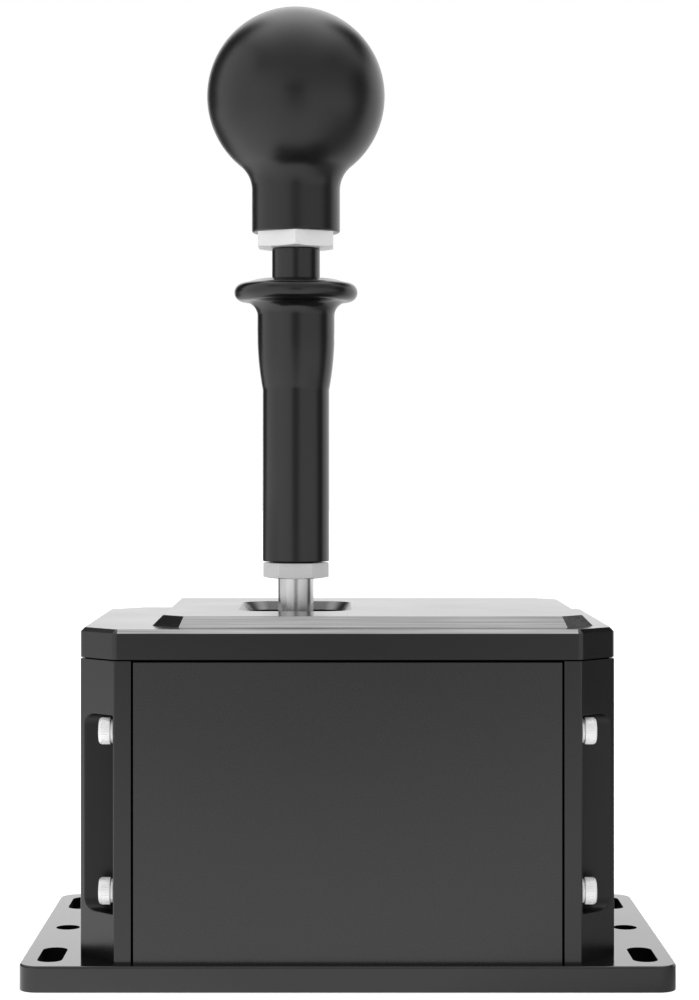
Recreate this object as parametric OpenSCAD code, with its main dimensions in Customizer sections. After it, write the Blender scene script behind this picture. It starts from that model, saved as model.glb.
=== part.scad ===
// Gear shifter for a driving simulator: a bolted metal housing on a slotted base plate,
// and an upright lever with a three-column gate and a pull-up reverse collar.
// Origin: centre of the base plate's underside. X runs to the driver's right, Y away from
// the driver, Z up. Millimetres.

/* [Base plate] */
// Width of the base plate
base_w = 170; // [160:1:190]
// Depth of the base plate
base_d = 102; // [100:1:120]
// Thickness of the base plate
base_t = 6.8; // [6:0.1:10]
// Corner radius of the base plate
base_corner_r = 5; // [2:0.5:10]
// Bevel round the base plate's top edge
base_bevel = 0.6; // [0.2:0.1:1.2]
// Distance of the mounting holes from the middle, sideways
mount_x = 77.6; // [76:0.1:80]
// Distance of the mounting slots from the middle, front to back
slot_y = 36.4; // [30:0.1:38]
// Width of the slots and the round mounting holes
slot_w = 6.5; // [4.5:0.1:8]
// End-to-end length of a mounting slot
slot_len = 18.5; // [10:0.5:22]

/* [Housing] */
// Width over the side plates
body_w = 140; // [136:1:142]
// Depth over the front and rear panels
body_d = 96; // [92:1:100]
// Height of the housing walls
wall_h = 78.2; // [74:0.1:90]
// Thickness of a side plate
side_t = 14; // [13:0.5:16]
// Thickness of the front and rear panels
panel_t = 8; // [7:0.5:10]
// Chamfer on the upright corners, seen from above
corner_cut = 9.6; // [8:0.1:10.5]
// Small bevel along the seams between plates
seam_bevel = 0.4; // [0.2:0.1:0.8]
// Rim of a side plate left in front of a corner notch
notch_lip = 0.3; // [0.2:0.1:1]
// Length of a corner notch below its lower screw
notch_below = 5.5; // [4.5:0.1:7]
// Length of a corner notch above its upper screw
notch_above = 4.3; // [4:0.1:7]
// Corner radius of a corner notch
notch_r = 3; // [1:0.5:4]

/* [Top plate] */
// Thickness of the top plate round the raised field
top_t = 8.15; // [7:0.05:12]
// Bevel round the top plate's upper edge
top_bevel = 1.05; // [0.3:0.05:1.5]
// Height of the raised field
field_h = 2.75; // [1.5:0.05:4]
// Left edge of the raised field
field_left = -51.6; // [-56:0.1:-46]
// Right edge of the raised field
field_right = 65; // [58:0.5:67]
// Distance of the raised field from the front face
field_front = 8; // [6:0.5:16]
// Corner cut of the raised field
field_cut = 7; // [3:0.5:10]
// Lever opening, side to side
opening_w = 26.5; // [25:0.5:32]
// Lever opening, front to back
opening_d = 42.5; // [36:0.5:50]
// Corner radius of the lever opening
opening_r = 5.75; // [3:0.25:10]
// Bevelled rim of the lever opening
opening_bevel = 2.75; // [0.5:0.05:3]

/* [Lever] */
// Lever axis, sideways from the middle
lever_x = -14.2; // [-18:0.1:-10]
// Lever axis, front to back from the middle
lever_y = 7.2; // [2:0.1:9]
// Height of the pivot above the base plate
pivot_rise = 53.2; // [50:0.1:56]
// Radius of the lever shaft
shaft_r = 5; // [4.5:0.1:5.5]
// Bare shaft between the raised field and the lower lock nut
shaft_show = 8; // [7:0.1:14]
// Height of the lower lock nut
lower_nut_h = 4.3; // [3:0.1:6]
// Width across flats of the lower lock nut
lower_nut_af = 16; // [15:0.5:18]
// Radius of the tube that the collar slides on
tube_r = 6.75; // [6.4:0.05:7]
// Bare tube between the collar and the upper lock nut
collar_gap = 8.9; // [8.6:0.1:14]
// Height of the upper lock nut
upper_nut_h = 4.4; // [3:0.1:7]
// Width across flats of the upper lock nut
upper_nut_af = 21; // [18:0.5:24]
// Radius of the stud that carries the knob
stud_r = 6; // [5:0.1:6.2]
// Length of the stud inside the knob
stud_grip = 15; // [10:0.5:20]

/* [Pull collar] */
// Length of the pull collar
collar_len = 79.5; // [74:0.5:90]
// Radius of the collar's lower barrel
barrel_r = 9.35; // [9.2:0.05:10]
// Length of the lower barrel
barrel_len = 48.6; // [44:0.1:52]
// Radius of the collar's upper barrel
grip_r = 10.85; // [10.4:0.05:12]
// Length of the curved taper between the barrels
taper_len = 15.8; // [8:0.1:18]
// Radius of the finger flange
flange_r = 17.35; // [15:0.05:19]
// Thickness of the finger flange at its round edge
flange_t = 5.2; // [3:0.1:6]
// Fillet under the finger flange
flange_fillet = 4; // [1.5:0.1:5]
// Lift of the collar that frees reverse
collar_lift = 8; // [4:0.1:8]

/* [Knob] */
// Radius of the ball knob
ball_r = 25; // [22:0.5:28]
// Height of the ball's centre above the knob's lower face
ball_rise = 38.4; // [34:0.1:44]
// Radius of the knob's neck
knob_neck_r = 12.4; // [11:0.1:14]
// Fillet between the neck and the ball
knob_fillet = 9; // [4:0.5:12]

/* [Gate] */
// Swing of the lever to each side, degrees
select_angle = 10; // [8:0.5:11]
// Swing of the lever to front and back, degrees
shift_angle = 14; // [10:0.5:15]
// Height of the gate ball's centre above the base plate
gate_rise = 7.2; // [7:0.1:9]
// Radius of the gate ball
gate_ball_r = 2.5; // [2.2:0.1:2.8]
// Room on each side of the gate ball
gate_room = 0.45; // [0.4:0.05:0.6]
// Thickness of the gate plate
gate_t = 3; // [2.5:0.1:3.5]

/* [Gimbal] */
// Half width of the lever hub, along its pivot
hub_half_w = 13; // [12:0.5:14]
// Half depth of the lever hub
hub_half_d = 10; // [9:0.5:11]
// Rounding radius of the lever hub about its pivot
hub_round_r = 12.5; // [12:0.5:14]
// Wall of the yoke beside the hub
yoke_side = 7.6; // [7:0.1:9]
// Wall of the yoke in front of and behind the hub
yoke_end = 9; // [7:0.5:10]
// Half height of the yoke
yoke_half_h = 8; // [6.5:0.5:9]
// Radius of the shift pivot pins
shift_pin_r = 3; // [2.5:0.1:3.4]
// Radius of the yoke pins in their bushes
yoke_pin_r = 4; // [3.5:0.1:4.5]
// Wall of the plain bushes
bush_wall = 1.6; // [1.2:0.1:2]
// Thickness of the thrust washers
washer_t = 1.2; // [0.8:0.1:2]

/* [Springs] */
// Wire diameter of the centring springs
centring_wire = 1; // [0.8:0.1:1.2]
// Mean radius of the centring springs
centring_r = 3.7; // [3.5:0.1:4]
// Turns of a centring spring
centring_turns = 9; // [5:1:14]
// Wire diameter of the collar spring
collar_wire = 0.8; // [0.6:0.1:0.9]
// Turns of the collar spring
collar_turns = 14; // [8:1:20]

/* [Fasteners] */
// Radius of a corner screw's thread
corner_screw_r = 2; // [1.5:0.1:2.4]
// Radius of a corner screw's head
corner_head_r = 3.5; // [3:0.1:3.9]
// Height of a corner screw's head
corner_head_h = 3.1; // [2:0.1:4.5]
// Thickness of a corner screw's washer
corner_washer_t = 0.8; // [0.4:0.1:1.2]
// Height of the lower corner screws above the base plate
corner_screw_low = 18.2; // [14:0.1:22]
// Distance between the two screws of a corner
corner_screw_gap = 41.6; // [34:0.1:48]
// Radius of a tie bolt
tie_r = 2.5; // [2:0.1:3]
// Distance of the tie bolts from the front and rear faces
tie_inset = 16; // [14:0.5:18]
// Radius of the small screws
small_screw_r = 1.5; // [1.2:0.1:1.6]

/* [Electronics] */
// Width of the control board
board_w = 30; // [28:1:34]
// Depth of the control board
board_d = 40; // [34:1:42]
// Thickness of the circuit boards
board_t = 1.6; // [1.2:0.1:2]
// Height of the control board's standoffs
standoff_h = 5; // [4:0.5:7]
// Width of the data socket's case
socket_w = 12; // [11:0.5:14]
// Height of the data socket's case
socket_h = 6.5; // [6:0.5:8]

/* [Hidden] */
$fn = 48;

// Clearances: running fits, axial play, screw holes, cuts that pass a face
run_gap = 0.04;
play = 0.1;
screw_gap = 0.2;
past = 1;

// Colours
black_anodised = [0.09, 0.09, 0.10];
grey_anodised = [0.20, 0.20, 0.21];
bright_steel = [0.80, 0.80, 0.78];
dark_steel = [0.35, 0.35, 0.36];
bronze = [0.72, 0.50, 0.24];
board_green = [0.05, 0.30, 0.14];
chip_black = [0.05, 0.05, 0.05];

// Heights of the stack, from the base plate up
wall_z = base_t;
top_z = wall_z + wall_h;
rim_z = top_z + top_t;
field_z = rim_z + field_h;
nut_z = field_z + shaft_show;
collar_z = nut_z + lower_nut_h;
collar_top_z = collar_z + collar_len;
upper_nut_z = collar_top_z + collar_gap;
knob_z = upper_nut_z + upper_nut_h;
ball_z = knob_z + ball_rise;
pivot_z = base_t + pivot_rise;

// Housing outline
half_w = body_w / 2;
half_d = body_d / 2;
inner_x = half_w - side_t;
inner_y = half_d - panel_t;
notch_floor_x = half_w - corner_cut + notch_lip;
screw_y = half_d - panel_t / 2;
screw_zs = [wall_z + corner_screw_low, wall_z + corner_screw_low + corner_screw_gap];
screw_grip = 13;
screw_socket = [1.5, 1.8];
washer_drop = 0.4;
notch_side_gap = 0.4;
tie_x = inner_x + side_t / 2;
tie_y = half_d - tie_inset;
tie_head_r = 2 * tie_r;
tie_head_drop = 0.2;
top_skin = 2.3;
tie_bite = top_t - top_skin;
tie_end_room = 0.5;
slot_r = slot_w / 2;

// Raised field of the top plate
field_y0 = -half_d + field_front;
field_y1 = half_d - top_bevel;
field_corner_sum = half_w + half_d - corner_cut - top_bevel * sqrt(2);

// Gimbal, in distances from the pivot
bush_r = shift_pin_r + bush_wall;
window_x = hub_half_w + washer_t + 2 * play;
yoke_x = window_x + yoke_side;
hub_swing_room = 2.5;
window_y = hub_round_r + hub_swing_room;
yoke_y = window_y + yoke_end;
shift_pin_wall = 2;
shift_pin_in = shaft_r + shift_pin_wall;
bush_end_room = 0.5;
yoke_pin_end = 1;
yoke_pin_bite = yoke_end - yoke_pin_end;
shoulder_w = 2;
yoke_shoulder_r = yoke_pin_r + shoulder_w;
yoke_bush_r = yoke_pin_r + bush_wall;
yoke_bush_flange_r = yoke_bush_r + shoulder_w;
yoke_bush_flange_t = 1.5;
panel_skin = 3;
yoke_bush_seat = panel_t - panel_skin;
shoulder_gap = 0.3;
yoke_edge_r = 3;
yoke_window_r = 2;
spring_pin_roof = 1;

// Gate, with the lane ends on the ball's reach at the full swing
gate_ball_z = base_t + gate_rise;
tail = pivot_z - gate_ball_z;
lane_r = gate_ball_r + gate_room;
lane_x = tail * sin(select_angle) * (1 + cos(shift_angle)) / 2;
lane_y = tail * sin(shift_angle);
gate_z0 = gate_ball_z - gate_t / 2;
gate_z1 = gate_ball_z + gate_t / 2;
spring_x = window_x + yoke_side / 2;
seat_r = 5;
gate_post_r = 3.5;
gate_post_gap = 4;
gate_post_x = spring_x + gate_post_gap;
gate_end = 2;
gate_post_y = lane_y + lane_r + gate_end;
gate_half_w = gate_post_x + gate_post_r;
gate_half_d = gate_post_y + gate_post_r;
magnet_r = 2;
magnet_wall = 0.6;
magnet_y = lane_y + lane_r + magnet_r + magnet_wall;
small_head_rim = 1.25;
small_head_r = small_screw_r + small_head_rim;
small_head_h = 2;
base_skin = 2;
base_bite = base_t - base_skin;

// Reverse lock-out: the rod's tip hangs just clear of the stop at rest height
rod_r = 2;
tip_r = 1.2;
rod_room = 0.2;
tip_show = 1.7;
tip_z = gate_ball_z - gate_ball_r - tip_show;
tip_reach = pivot_z - tip_z;
stop_clear = 0.4;
stop_z = pivot_z - tip_reach * cos(select_angle) - tip_r * sin(select_angle) - stop_clear;
stop_x = tip_reach * sin(select_angle);
stop_half_w = 4;
stop_y0 = 3;
stop_end = 4;
stop_y1 = tip_reach * sin(shift_angle) + stop_end;
stop_ear_t = 1.5;
stop_ear_x = stop_half_w + 4;

// Lock nuts: chamfer angle, and how far it reaches inside the flats
nut_chamfer = 10;
nut_face_drop = 0.3;

// Lever, from the finger up
finger_top_drop = 30;
finger_top_z = pivot_z - finger_top_drop;
finger_plug_r = 3.2;
finger_plug_len = 10;
finger_shoulder_r = 4;
finger_neck_r = 2;
finger_neck_h = 4;
finger_neck_z = gate_ball_z + finger_neck_h;
rod_step_gap = 3;
rod_step_z = finger_top_z + finger_plug_len + rod_step_gap;
shaft_top_drop = 20;
shaft_top_z = collar_top_z - shaft_top_drop;
rod_head_r = 3;
rod_head_gap = 0.5;
rod_head_z = shaft_top_z + rod_head_gap;
cross_pin_r = 1.25;
cross_pin_rise = 3.5;
cross_pin_z = rod_head_z + cross_pin_rise;
cross_pin_sink = 0.3;
rod_head_cap = 4;
rod_top_z = cross_pin_z + rod_head_cap;
head_bore_room = 2;
holder_r = 9;
holder_drop = 20;
holder_h = 8;
holder_mid_z = pivot_z - holder_drop;
holder_z0 = holder_mid_z - holder_h / 2;
holder_z1 = holder_mid_z + holder_h / 2;
sensor_magnet_r = 3;
sensor_magnet_t = 3;
sensor_magnet_sink = 0.2;
stud_room = 1;

// Collar spring chamber
chamber_room = 1.45;
chamber_r = tube_r + chamber_room;
collar_bush_len = 6;
stop_ring_t = 1.2;
stop_ring_rise = 1;
stop_ring_z = collar_z + barrel_len + stop_ring_rise;
stop_ring_gap = 0.2;
stop_ring_r = chamber_r - stop_ring_gap;
stop_ring_sink = 0.5;
stop_ring_groove_r = tube_r - stop_ring_sink;
chamber_end = 1;
chamber_top_z = stop_ring_z + stop_ring_t + chamber_end;
coil_offset = 0.1;
collar_spring_r = (tube_r + chamber_r) / 2 + coil_offset;
collar_seat_gap = 0.4;

// Edges of the turned pieces
knob_edge = 0.6;
collar_foot_r = 0.8;
flange_crown = 0.9;
flange_crown_w = 3;

// Centring springs, from the seats up to the yoke
seat_h = 5;
seat_z = gate_z1 + seat_h;
spring_post_gap = 0.6;
spring_post_r = centring_r - centring_wire / 2 - spring_post_gap;
spring_post_len = 5;
spring_end_gap = 0.05;

// Circuit boards
bracket_gap = 3;
bracket_y = lever_y - gate_half_d - bracket_gap;
bracket_t = 1.5;
bracket_half_w = 12;
bracket_foot = 9;
bracket_drop = 14;
bracket_top_z = pivot_z - bracket_drop;
bracket_post_x = 8;
sensor_board_h = 22;
sensor_screw_x = 9;
sensor_screw_drop = 4;
sensor_chip_size = [5, 1.1, 4];
board_side_gap = 3;
board_rear_gap = 1;
control_x = inner_x - board_side_gap - board_w / 2;
control_y = inner_y - board_rear_gap - board_d / 2;
control_z = base_t + standoff_h;
board_screw_inset = 3.5;
// Parts on the control board: place of the centre, then size
controller_at = [0, -2];
controller_size = [10, 10, 1.4];
plug_at = [-5, -11];
plug_size = [6, 4, 5];
crystal_at = [7.5, -6];
crystal_size = [4, 6, 2];
socket_x = control_x;
socket_in = 8;
socket_len = panel_t + socket_in;
port_w = 8.4;
port_h = 2.6;
port_depth = 6.5;
tongue_t = 0.7;
tongue_drop = 1;

// Points along an arc, for outlines
function arc(cx, cy, r, a0, a1, n) =
    [for (i = [0 : n]) [cx + r * cos(a0 + (a1 - a0) * i / n), cy + r * sin(a0 + (a1 - a0) * i / n)]];

// Centre line of a coil about Z, with a fixed number of points to a turn
turn_steps = 12;
coil_sides = 6;
function coil_path(r, z0, z1, turns) =
    [for (i = [0 : turns * turn_steps])
        [r * cos(360 * i / turn_steps), r * sin(360 * i / turn_steps),
         z0 + (z1 - z0) * i / (turns * turn_steps)]];
function coil_least_gap(path, wire) =
    min([for (i = [0 : len(path) - 1 - turn_steps]) norm(path[i + turn_steps] - path[i])]) - wire;

module rod_x(r, x0, x1) {
    translate([x0, 0, 0]) rotate([0, 90, 0]) cylinder(r = r, h = x1 - x0);
}

module rod_y(r, y0, y1) {
    translate([0, y0, 0]) rotate([-90, 0, 0]) cylinder(r = r, h = y1 - y0);
}

module rod_z(r, z0, z1) {
    translate([0, 0, z0]) cylinder(r = r, h = z1 - z0);
}

module block(x0, x1, y0, y1, z0, z1) {
    translate([x0, y0, z0]) cube([x1 - x0, y1 - y0, z1 - z0]);
}

module at_lever() {
    translate([lever_x, lever_y, 0]) children();
}

module at_pivot() {
    translate([lever_x, lever_y, pivot_z]) children();
}

// Rectangle with round corners, standing along Z
module round_bar(half_x, half_y, r, z0, z1) {
    block(-half_x + r, half_x - r, -half_y, half_y, z0, z1);
    block(-half_x, half_x, -half_y + r, half_y - r, z0, z1);
    for (sx = [-1, 1], sy = [-1, 1])
        translate([sx * (half_x - r), sy * (half_y - r), 0]) rod_z(r, z0, z1);
}

// Slot with round ends, along Y
module slot_bar(r, half_len, z0, z1) {
    block(-r, r, -half_len + r, half_len - r, z0, z1);
    for (sy = [-1, 1]) translate([0, sy * (half_len - r), 0]) rod_z(r, z0, z1);
}

// Upright prism over an outline with bevels at its two ends
module bevelled_prism(points, z0, z1, bevel0, bevel1) {
    hull() {
        translate([0, 0, z0]) linear_extrude(bevel0) offset(delta = -bevel0) polygon(points);
        translate([0, 0, z0 + bevel0]) linear_extrude(z1 - z0 - bevel0 - bevel1) polygon(points);
        translate([0, 0, z1 - bevel1]) linear_extrude(bevel1) offset(delta = -bevel1) polygon(points);
    }
}

// Countersunk screw pointing up from z, with a hexagon socket
module countersunk(r, head_r, z, len) {
    difference() {
        union() {
            translate([0, 0, z]) cylinder(r1 = head_r, r2 = r, h = head_r - r);
            rod_z(r, z, z + len);
        }
        translate([0, 0, z - past]) cylinder(r = r * 0.75, h = past + r, $fn = 6);
    }
}

// Room for a countersunk screw whose head lies at z
module countersink_hole(r, head_r, z, z1) {
    translate([0, 0, z]) cylinder(r1 = head_r, r2 = r, h = head_r - r);
    rod_z(head_r, z - past, z);
    rod_z(r, z, z1);
}

// Small screw with a round head on top, its head seated at z
module small_screw(z, bite) {
    difference() {
        union() {
            rod_z(small_head_r, z, z + small_head_h);
            rod_z(small_screw_r, z - bite, z + small_head_h / 2);
        }
        translate([0, 0, z + small_head_h / 2])
            cylinder(r = small_screw_r * 0.8, h = small_head_h, $fn = 6);
    }
}

// Wire coil about Z
module coil(r, wire, z0, z1, turns) {
    path = coil_path(r, z0 + wire / 2, z1 - wire / 2, turns);
    last = len(path) - 1;
    rise = atan2((z1 - z0 - wire) / turns, 2 * PI * r);
    points = [for (i = [0 : last], k = [0 : coil_sides - 1])
        let (a = 360 * i / turn_steps, t = 360 * k / coil_sides)
        path[i] + wire / 2 * (cos(t) * [cos(a), sin(a), 0]
            + sin(t) * [sin(rise) * sin(a), -sin(rise) * cos(a), cos(rise)])];
    sides = [for (i = [0 : last - 1], k = [0 : coil_sides - 1])
        let (a = i * coil_sides + k, b = i * coil_sides + (k + 1) % coil_sides)
        each [[a, a + coil_sides, b], [b, a + coil_sides, b + coil_sides]]];
    start_cap = [for (k = [1 : coil_sides - 2]) [0, k, k + 1]];
    end_cap = [for (k = [1 : coil_sides - 2])
        [last * coil_sides, last * coil_sides + k + 1, last * coil_sides + k]];
    echo(least_gap = coil_least_gap(path, wire));
    polyhedron(points, concat(sides, start_cap, end_cap));
}

module base_plate() {
    color(grey_anodised) difference() {
        hull() for (sx = [-1, 1], sy = [-1, 1])
            translate([sx * (base_w / 2 - base_corner_r), sy * (base_d / 2 - base_corner_r), 0]) {
                rod_z(base_corner_r, 0, base_t - base_bevel);
                translate([0, 0, base_t - base_bevel])
                    cylinder(r1 = base_corner_r, r2 = base_corner_r - base_bevel, h = base_bevel);
            }
        for (sx = [-1, 1]) {
            translate([sx * mount_x, 0, 0]) rod_z(slot_r, -past, base_t + past);
            for (sy = [-1, 1]) {
                translate([sx * mount_x, sy * slot_y, 0])
                    slot_bar(slot_r, slot_len / 2, -past, base_t + past);
                translate([sx * tie_x, sy * tie_y, 0])
                    countersink_hole(tie_r + screw_gap, tie_head_r, tie_head_drop, base_t + past);
            }
        }
        gate_posts() rod_z(small_screw_r, base_t - base_bite, base_t + past);
        bracket_posts() rod_z(small_screw_r, base_t - base_bite, base_t + past);
        control_posts() rod_z(small_screw_r, base_t - base_bite, base_t + past);
        stop_posts() rod_z(small_screw_r, base_t - base_bite, base_t + past);
    }
}

module side_plate() {
    outline = [
        [inner_x, -half_d], [half_w - corner_cut, -half_d], [half_w, -half_d + corner_cut],
        [half_w, half_d - corner_cut], [half_w - corner_cut, half_d], [inner_x, half_d]
    ];
    difference() {
        bevelled_prism(outline, wall_z, top_z, seam_bevel / 2, seam_bevel);
        for (sy = [-1, 1]) {
            corner_notch(sy);
            translate([tie_x, sy * tie_y, 0]) rod_z(tie_r + screw_gap, wall_z - past, top_z + past);
            for (z = screw_zs) translate([0, sy * screw_y, z])
                rod_x(corner_screw_r + screw_gap, inner_x - past, half_w);
        }
    }
}

// Notch through a corner's chamfer for its two screw heads
module corner_notch(sy) {
    y_in = sy * (half_d - panel_t - notch_side_gap);
    y_out = sy * (half_d + notch_r + past);
    z0 = screw_zs[0] - notch_below;
    z1 = screw_zs[1] + notch_above;
    ys = [min(y_in, y_out), max(y_in, y_out)];
    block(notch_floor_x, half_w + past, ys[0] + notch_r, ys[1] - notch_r, z0, z1);
    block(notch_floor_x, half_w + past, ys[0], ys[1], z0 + notch_r, z1 - notch_r);
    for (y = [ys[0] + notch_r, ys[1] - notch_r], z = [z0 + notch_r, z1 - notch_r])
        translate([0, y, z]) rod_x(notch_r, notch_floor_x, half_w + past);
}

module right_side_plate() {
    color(black_anodised) side_plate();
}

module left_side_plate() {
    color(black_anodised) mirror([1, 0, 0]) side_plate();
}

// Panel between the side plates, its outer face at the front
module panel() {
    plan = [
        [-inner_x, -inner_y], [-inner_x, -half_d + seam_bevel], [-inner_x + seam_bevel, -half_d],
        [inner_x - seam_bevel, -half_d], [inner_x, -half_d + seam_bevel], [inner_x, -inner_y]
    ];
    side = [
        [-inner_y, wall_z], [-half_d + seam_bevel / 2, wall_z], [-half_d, wall_z + seam_bevel / 2],
        [-half_d, top_z - seam_bevel], [-half_d + seam_bevel, top_z], [-inner_y, top_z]
    ];
    difference() {
        intersection() {
            translate([0, 0, wall_z]) linear_extrude(wall_h) polygon(plan);
            translate([-inner_x, 0, 0]) rotate([90, 0, 90]) linear_extrude(2 * inner_x) polygon(side);
        }
        for (sx = [0, 1], z = screw_zs) mirror([sx, 0, 0]) translate([0, -screw_y, z])
            rod_x(corner_screw_r, inner_x - screw_grip, inner_x + past);
    }
}

module front_panel() {
    color(black_anodised) difference() {
        panel();
        translate([lever_x, 0, pivot_z]) rod_y(yoke_bush_r, -inner_y - yoke_bush_seat, -inner_y + past);
    }
}

module rear_panel() {
    color(black_anodised) difference() {
        mirror([0, 1, 0]) panel();
        translate([lever_x, 0, pivot_z]) rod_y(yoke_bush_r, inner_y - past, inner_y + yoke_bush_seat);
        block(socket_x - socket_w / 2 - play, socket_x + socket_w / 2 + play, inner_y - past, half_d + past,
              control_z + board_t - play, control_z + board_t + socket_h + play);
    }
}

// Outline of the raised field, drawn in by an inset on all sides but the rear
function field_outline(inset) =
    let (x0 = field_left + inset, x1 = field_right - inset, y0 = field_y0 + inset,
         cut = field_cut - inset * (2 - sqrt(2)), sum = field_corner_sum - inset * sqrt(2))
    [[x0, field_y1], [x0, y0 + cut], [x0 + cut, y0], [x1 - cut, y0], [x1, y0 + cut],
     [x1, sum - x1], [sum - field_y1, field_y1]];

module top_plate() {
    outline = [
        [-half_w + corner_cut, -half_d], [half_w - corner_cut, -half_d],
        [half_w, -half_d + corner_cut], [half_w, half_d - corner_cut],
        [half_w - corner_cut, half_d], [-half_w + corner_cut, half_d],
        [-half_w, half_d - corner_cut], [-half_w, -half_d + corner_cut]
    ];
    skin = 0.01;
    color(black_anodised) difference() {
        union() {
            bevelled_prism(outline, top_z, rim_z, seam_bevel, top_bevel);
            hull() {
                translate([0, 0, rim_z - skin]) linear_extrude(skin) polygon(field_outline(0));
                translate([0, 0, field_z - skin]) linear_extrude(skin) polygon(field_outline(field_h));
            }
        }
        at_lever() {
            round_bar(opening_w / 2, opening_d / 2, opening_r, top_z - past, field_z + past);
            hull() for (sx = [-1, 1], sy = [-1, 1])
                translate([sx * (opening_w / 2 - opening_r), sy * (opening_d / 2 - opening_r),
                           field_z - opening_bevel])
                    cylinder(r1 = opening_r, r2 = opening_r + opening_bevel + skin, h = opening_bevel + skin);
        }
        for (sx = [-1, 1], sy = [-1, 1]) translate([sx * tie_x, sy * tie_y, 0])
            rod_z(tie_r, top_z - past, top_z + tie_bite);
    }
}

// The eight places of the corner screws, each pointing inward along its own X axis
module corner_screw_places() {
    for (sx = [0, 1], sy = [-1, 1], z = screw_zs)
        mirror([sx, 0, 0]) translate([notch_floor_x, sy * screw_y, z]) children();
}

module corner_screws() {
    color(bright_steel) corner_screw_places() difference() {
        dome = corner_head_h * 0.3;
        seat = corner_washer_t;
        union() {
            rod_x(corner_head_r, seat, seat + corner_head_h - dome);
            translate([seat + corner_head_h - dome, 0, 0]) rotate([0, 90, 0])
                cylinder(r1 = corner_head_r, r2 = corner_head_r - dome, h = dome);
            rod_x(corner_screw_r, inner_x - screw_grip - notch_floor_x, seat);
        }
        translate([seat + corner_head_h - screw_socket[1], 0, 0]) rotate([0, 90, 0])
            cylinder(r = screw_socket[0] / cos(30), h = corner_head_h, $fn = 6);
    }
}

module corner_washers() {
    color(bright_steel) corner_screw_places() difference() {
        rod_x(corner_head_r - washer_drop, 0, corner_washer_t);
        rod_x(corner_screw_r + screw_gap, -past, corner_washer_t + past);
    }
}

module tie_bolts() {
    color(dark_steel) for (sx = [-1, 1], sy = [-1, 1]) translate([sx * tie_x, sy * tie_y, 0])
        countersunk(tie_r, tie_head_r, tie_head_drop, top_z + tie_bite - tie_end_room - tie_head_drop);
}

// Flanged bush along Y, its flange against a face at y and its barrel beyond it
module yoke_bush(y, out) {
    ys = [y, y + out * yoke_bush_seat, y - out * yoke_bush_flange_t];
    color(bronze) translate([lever_x, 0, pivot_z]) difference() {
        union() {
            rod_y(yoke_bush_r, min(ys[0], ys[1]), max(ys[0], ys[1]));
            rod_y(yoke_bush_flange_r, min(ys[0], ys[2]), max(ys[0], ys[2]));
        }
        rod_y(yoke_pin_r + run_gap, min(ys) - past, max(ys) + past);
    }
}

module front_bush() {
    yoke_bush(-inner_y, -1);
}

module rear_bush() {
    yoke_bush(inner_y, 1);
}

// The four posts that carry the gate plate
module gate_posts() {
    at_lever() for (sx = [-1, 1], sy = [-1, 1])
        translate([sx * gate_post_x, sy * gate_post_y, 0]) children();
}

// Three front-to-back lanes and the cross lane between them
module gate_lanes() {
    z0 = gate_z0 - past;
    z1 = gate_z1 + past;
    for (x = [-lane_x, 0, lane_x]) translate([x, 0, 0]) slot_bar(lane_r, lane_y + lane_r, z0, z1);
    block(-lane_x, lane_x, -lane_r, lane_r, z0, z1);
}

module gate_magnet_places() {
    at_lever() for (x = [-lane_x, 0, lane_x], sy = [-1, 1])
        translate([x, sy * magnet_y, 0]) children();
}

module gate_plate() {
    color(dark_steel) difference() {
        at_lever() difference() {
            round_bar(gate_half_w, gate_half_d, gate_post_r, gate_z0, gate_z1);
            gate_lanes();
            for (sx = [-1, 1]) translate([sx * spring_x, 0, 0])
                rod_z(spring_post_r, gate_z0 - past, gate_z1 + past);
        }
        gate_magnet_places() rod_z(magnet_r, gate_z0 - past, gate_z1 + past);
        gate_posts() rod_z(small_screw_r + screw_gap, gate_z0 - past, gate_z1 + past);
    }
}

module gate_standoffs() {
    color(grey_anodised) gate_posts() difference() {
        rod_z(gate_post_r, base_t, gate_z0);
        rod_z(small_screw_r + screw_gap, base_t - past, gate_z0 + past);
    }
}

module gate_screws() {
    color(bright_steel) gate_posts() small_screw(gate_z1, gate_z1 - base_t + base_bite);
}

module gate_magnets() {
    color(bright_steel) gate_magnet_places() rod_z(magnet_r, gate_z0, gate_z1);
}

module stop_posts() {
    at_lever() for (sx = [-1, 1]) translate([-stop_x + sx * stop_ear_x, (stop_y0 + stop_y1) / 2, 0])
        children();
}

// Pad under the reverse lane, with an ear and a screw on each side
module reverse_stop() {
    ear_half = stop_ear_x + small_head_r;
    color(dark_steel) difference() {
        at_lever() translate([-stop_x, 0, 0]) {
            block(-stop_half_w, stop_half_w, stop_y0, stop_y1, base_t, stop_z);
            translate([0, (stop_y0 + stop_y1) / 2, 0])
                round_bar(ear_half, small_head_r, small_head_r - play, base_t, base_t + stop_ear_t);
        }
        stop_posts() rod_z(small_screw_r + screw_gap, base_t - past, base_t + stop_ear_t + past);
    }
}

module stop_screws() {
    color(bright_steel) stop_posts() small_screw(base_t + stop_ear_t, stop_ear_t + base_bite);
}

module spring_seats() {
    color(grey_anodised) at_lever() for (sx = [-1, 1]) translate([sx * spring_x, 0, 0]) {
        rod_z(seat_r, gate_z1, seat_z);
        rod_z(spring_post_r, gate_z0, seat_z + spring_post_len);
    }
}

module centring_spring(sx) {
    color(bright_steel) at_lever() translate([sx * spring_x, 0, 0])
        coil(centring_r, centring_wire, seat_z + spring_end_gap,
             pivot_z - yoke_half_h - spring_end_gap, centring_turns);
}

module left_centring_spring() {
    centring_spring(-1);
}

module right_centring_spring() {
    centring_spring(1);
}

module bracket_posts() {
    for (sx = [-1, 1]) translate([lever_x + sx * bracket_post_x, bracket_y - bracket_foot / 2, 0])
        children();
}

module board_screw_places() {
    for (sx = [-1, 1])
        translate([lever_x + sx * sensor_screw_x, bracket_y, bracket_top_z - sensor_screw_drop])
            children();
}

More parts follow.
